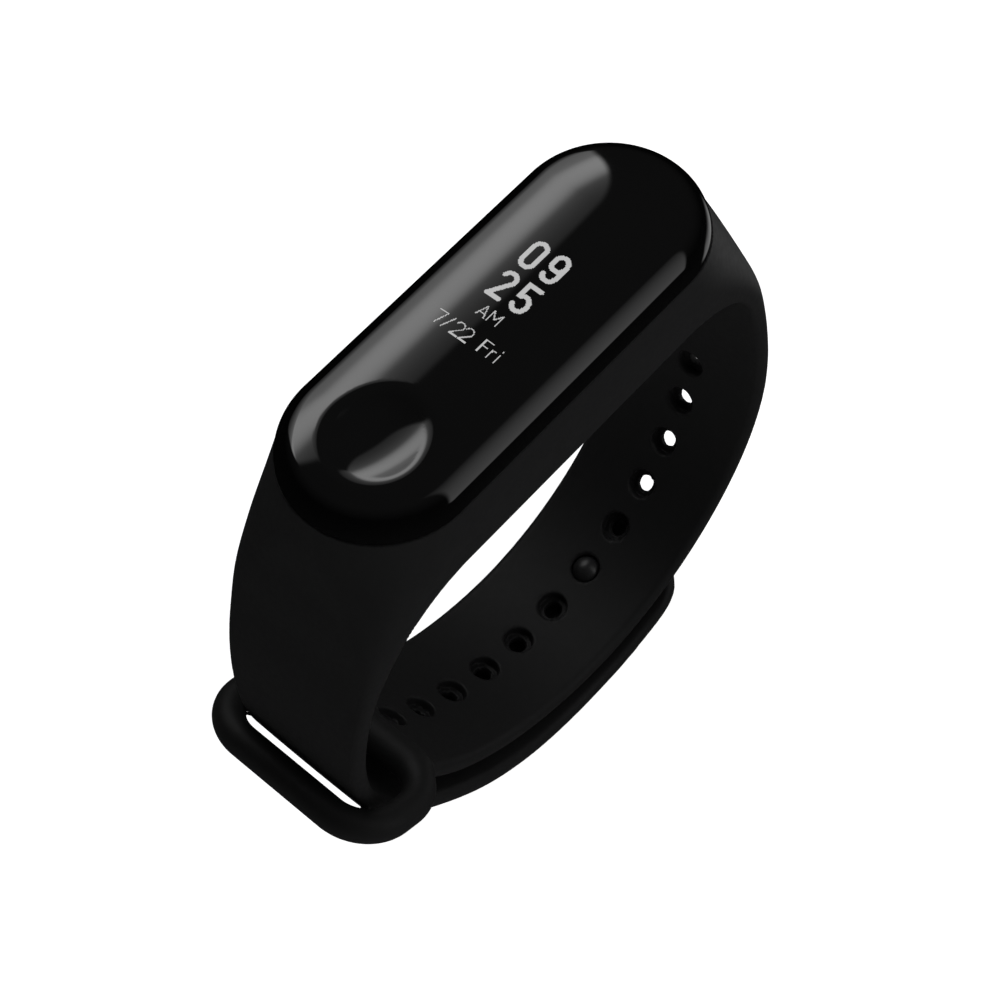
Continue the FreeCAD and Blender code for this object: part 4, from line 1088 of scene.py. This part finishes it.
def shape_light(light, levels, corner, soft):
    """Grade a rectangular light from its top down and round off its corners."""
    light.use_nodes = True
    nodes, links = light.node_tree.nodes, light.node_tree.links
    nodes.clear()

    def calculate(operation, first, second=None):
        step = nodes.new("ShaderNodeMath")
        step.operation = operation
        for socket, value in zip(step.inputs, (first, second)):
            if isinstance(value, (int, float)):
                socket.default_value = value
            elif value is not None:
                links.new(value, socket)
        return step.outputs["Value"]

    place = nodes.new("ShaderNodeNewGeometry")
    parts = nodes.new("ShaderNodeSeparateXYZ")
    links.new(place.outputs["Parametric"], parts.inputs["Vector"])
    squares = []
    for axis, size in (("X", light.size), ("Y", light.size_y)):
        off_middle = calculate("ABSOLUTE", calculate("SUBTRACT", parts.outputs[axis], 0.5))
        past = calculate("SUBTRACT", calculate("MULTIPLY", off_middle, size), size / 2 - corner)
        past = calculate("MAXIMUM", past, 0.0)
        squares.append(calculate("MULTIPLY", past, past))
    fade = nodes.new("ShaderNodeMapRange")
    fade.interpolation_type = "SMOOTHSTEP"
    fade.inputs["From Min"].default_value = corner
    fade.inputs["From Max"].default_value = corner - soft
    links.new(calculate("SQRT", calculate("ADD", *squares)), fade.inputs["Value"])

    grade = nodes.new("ShaderNodeFloatCurve")
    curve = grade.mapping.curves[0]
    top = max(level for _, level in levels)
    marks = [(1.0 - place_down, level / top) for place_down, level in reversed(levels)]
    curve.points[0].location, curve.points[1].location = marks[0], marks[-1]
    for mark in marks[1:-1]:
        curve.points.new(*mark)
    grade.mapping.update()
    links.new(parts.outputs["Y"], grade.inputs["Value"])

    shaped = calculate("MULTIPLY", grade.outputs["Value"], fade.outputs["Result"])
    emission = nodes.new("ShaderNodeEmission")
    links.new(calculate("MULTIPLY", shaped, top), emission.inputs["Strength"])
    out = nodes.new("ShaderNodeOutputLight")
    links.new(emission.outputs["Emission"], out.inputs["Surface"])


def softbox(name, facing, rise, distance, across, along, corner, soft, levels):
    """A soft rectangular light that faces the capsule, as in SOFTBOXES."""
    toward = Vector(facing).normalized()
    up = Vector(rise).normalized()
    side = up.cross(toward)
    sign = 1.0 if side.x > 0 else -1.0
    centre = Vector(placed(LIGHT_TARGET)) + distance * (
        toward + side * (sign * sum(across) / 2) + up * (sum(along) / 2))
    light = bpy.data.lights.new(name, "AREA")
    light.shape = "RECTANGLE"
    light.size = (across[1] - across[0]) * distance
    light.size_y = (along[1] - along[0]) * distance
    light.energy = math.pi * light.size * light.size_y
    shape_light(light, levels, corner, soft)
    made = bpy.data.objects.new(name, light)
    made.matrix_world = placing(-side, up, toward, centre)
    made.visible_camera = False
    scene.collection.objects.link(made)
    return made


def make_lights():
    """All softboxes; one only feeds reflections and one never shows in them."""
    made = {name: softbox(name, **settings) for name, settings in SOFTBOXES.items()}
    made["end_light"].visible_diffuse = False
    made["fill_light"].visible_glossy = False


def make_camera():
    """Camera at the photograph's viewing angle."""
    data = bpy.data.cameras.new("camera")
    data.sensor_width = CAMERA_SENSOR
    data.lens = CAMERA_LENS
    data.clip_start = CAMERA_NEAR
    camera = bpy.data.objects.new("camera", data)
    right = Vector(CAMERA_RIGHT).normalized()
    ahead = Vector(CAMERA_AHEAD).normalized()
    camera.matrix_world = placing(right, right.cross(ahead), -ahead, placed(CAMERA_PLACE))
    scene.collection.objects.link(camera)
    scene.camera = camera


def make_world():
    """White to the camera, dim to everything else."""
    world = bpy.data.worlds.new("studio")
    world.use_nodes = True
    nodes, links = world.node_tree.nodes, world.node_tree.links
    nodes.clear()
    seen = nodes.new("ShaderNodeBackground")
    lit = nodes.new("ShaderNodeBackground")
    for background in (seen, lit):
        background.inputs["Color"].default_value = WHITE
    seen.inputs["Strength"].default_value = 1.0
    place = nodes.new("ShaderNodeTexCoord")
    overhead = nodes.new("ShaderNodeVectorMath")
    overhead.operation = "DOT_PRODUCT"
    overhead.inputs[1].default_value = WORLD_BRIGHT_SIDE
    links.new(place.outputs["Generated"], overhead.inputs[0])
    links.new(spread(nodes, links, overhead.outputs["Value"], 0.0, WORLD_GLOW, WORLD_FADE),
              lit.inputs["Strength"])
    path = nodes.new("ShaderNodeLightPath")
    mix = nodes.new("ShaderNodeMixShader")
    out = nodes.new("ShaderNodeOutputWorld")
    links.new(path.outputs["Is Camera Ray"], mix.inputs["Fac"])
    links.new(lit.outputs["Background"], mix.inputs[1])
    links.new(seen.outputs["Background"], mix.inputs[2])
    links.new(mix.outputs["Shader"], out.inputs["Surface"])
    scene.world = world


# ---------- the whole model

materials = {name: moulded(name, *settings) for name, settings in SURFACES.items()}
for piece in make_strap():
    paint(piece, "strap_silicone")
paint(make_cover(), "cover_gloss")
for piece in make_stud():
    paint(piece, "stud_gloss")
paint(make_readout(), "display_pixels")
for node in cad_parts.values():
    paint(node, node.data.materials[0].name.split(".")[0])

make_floor()
make_world()
make_lights()
make_camera()
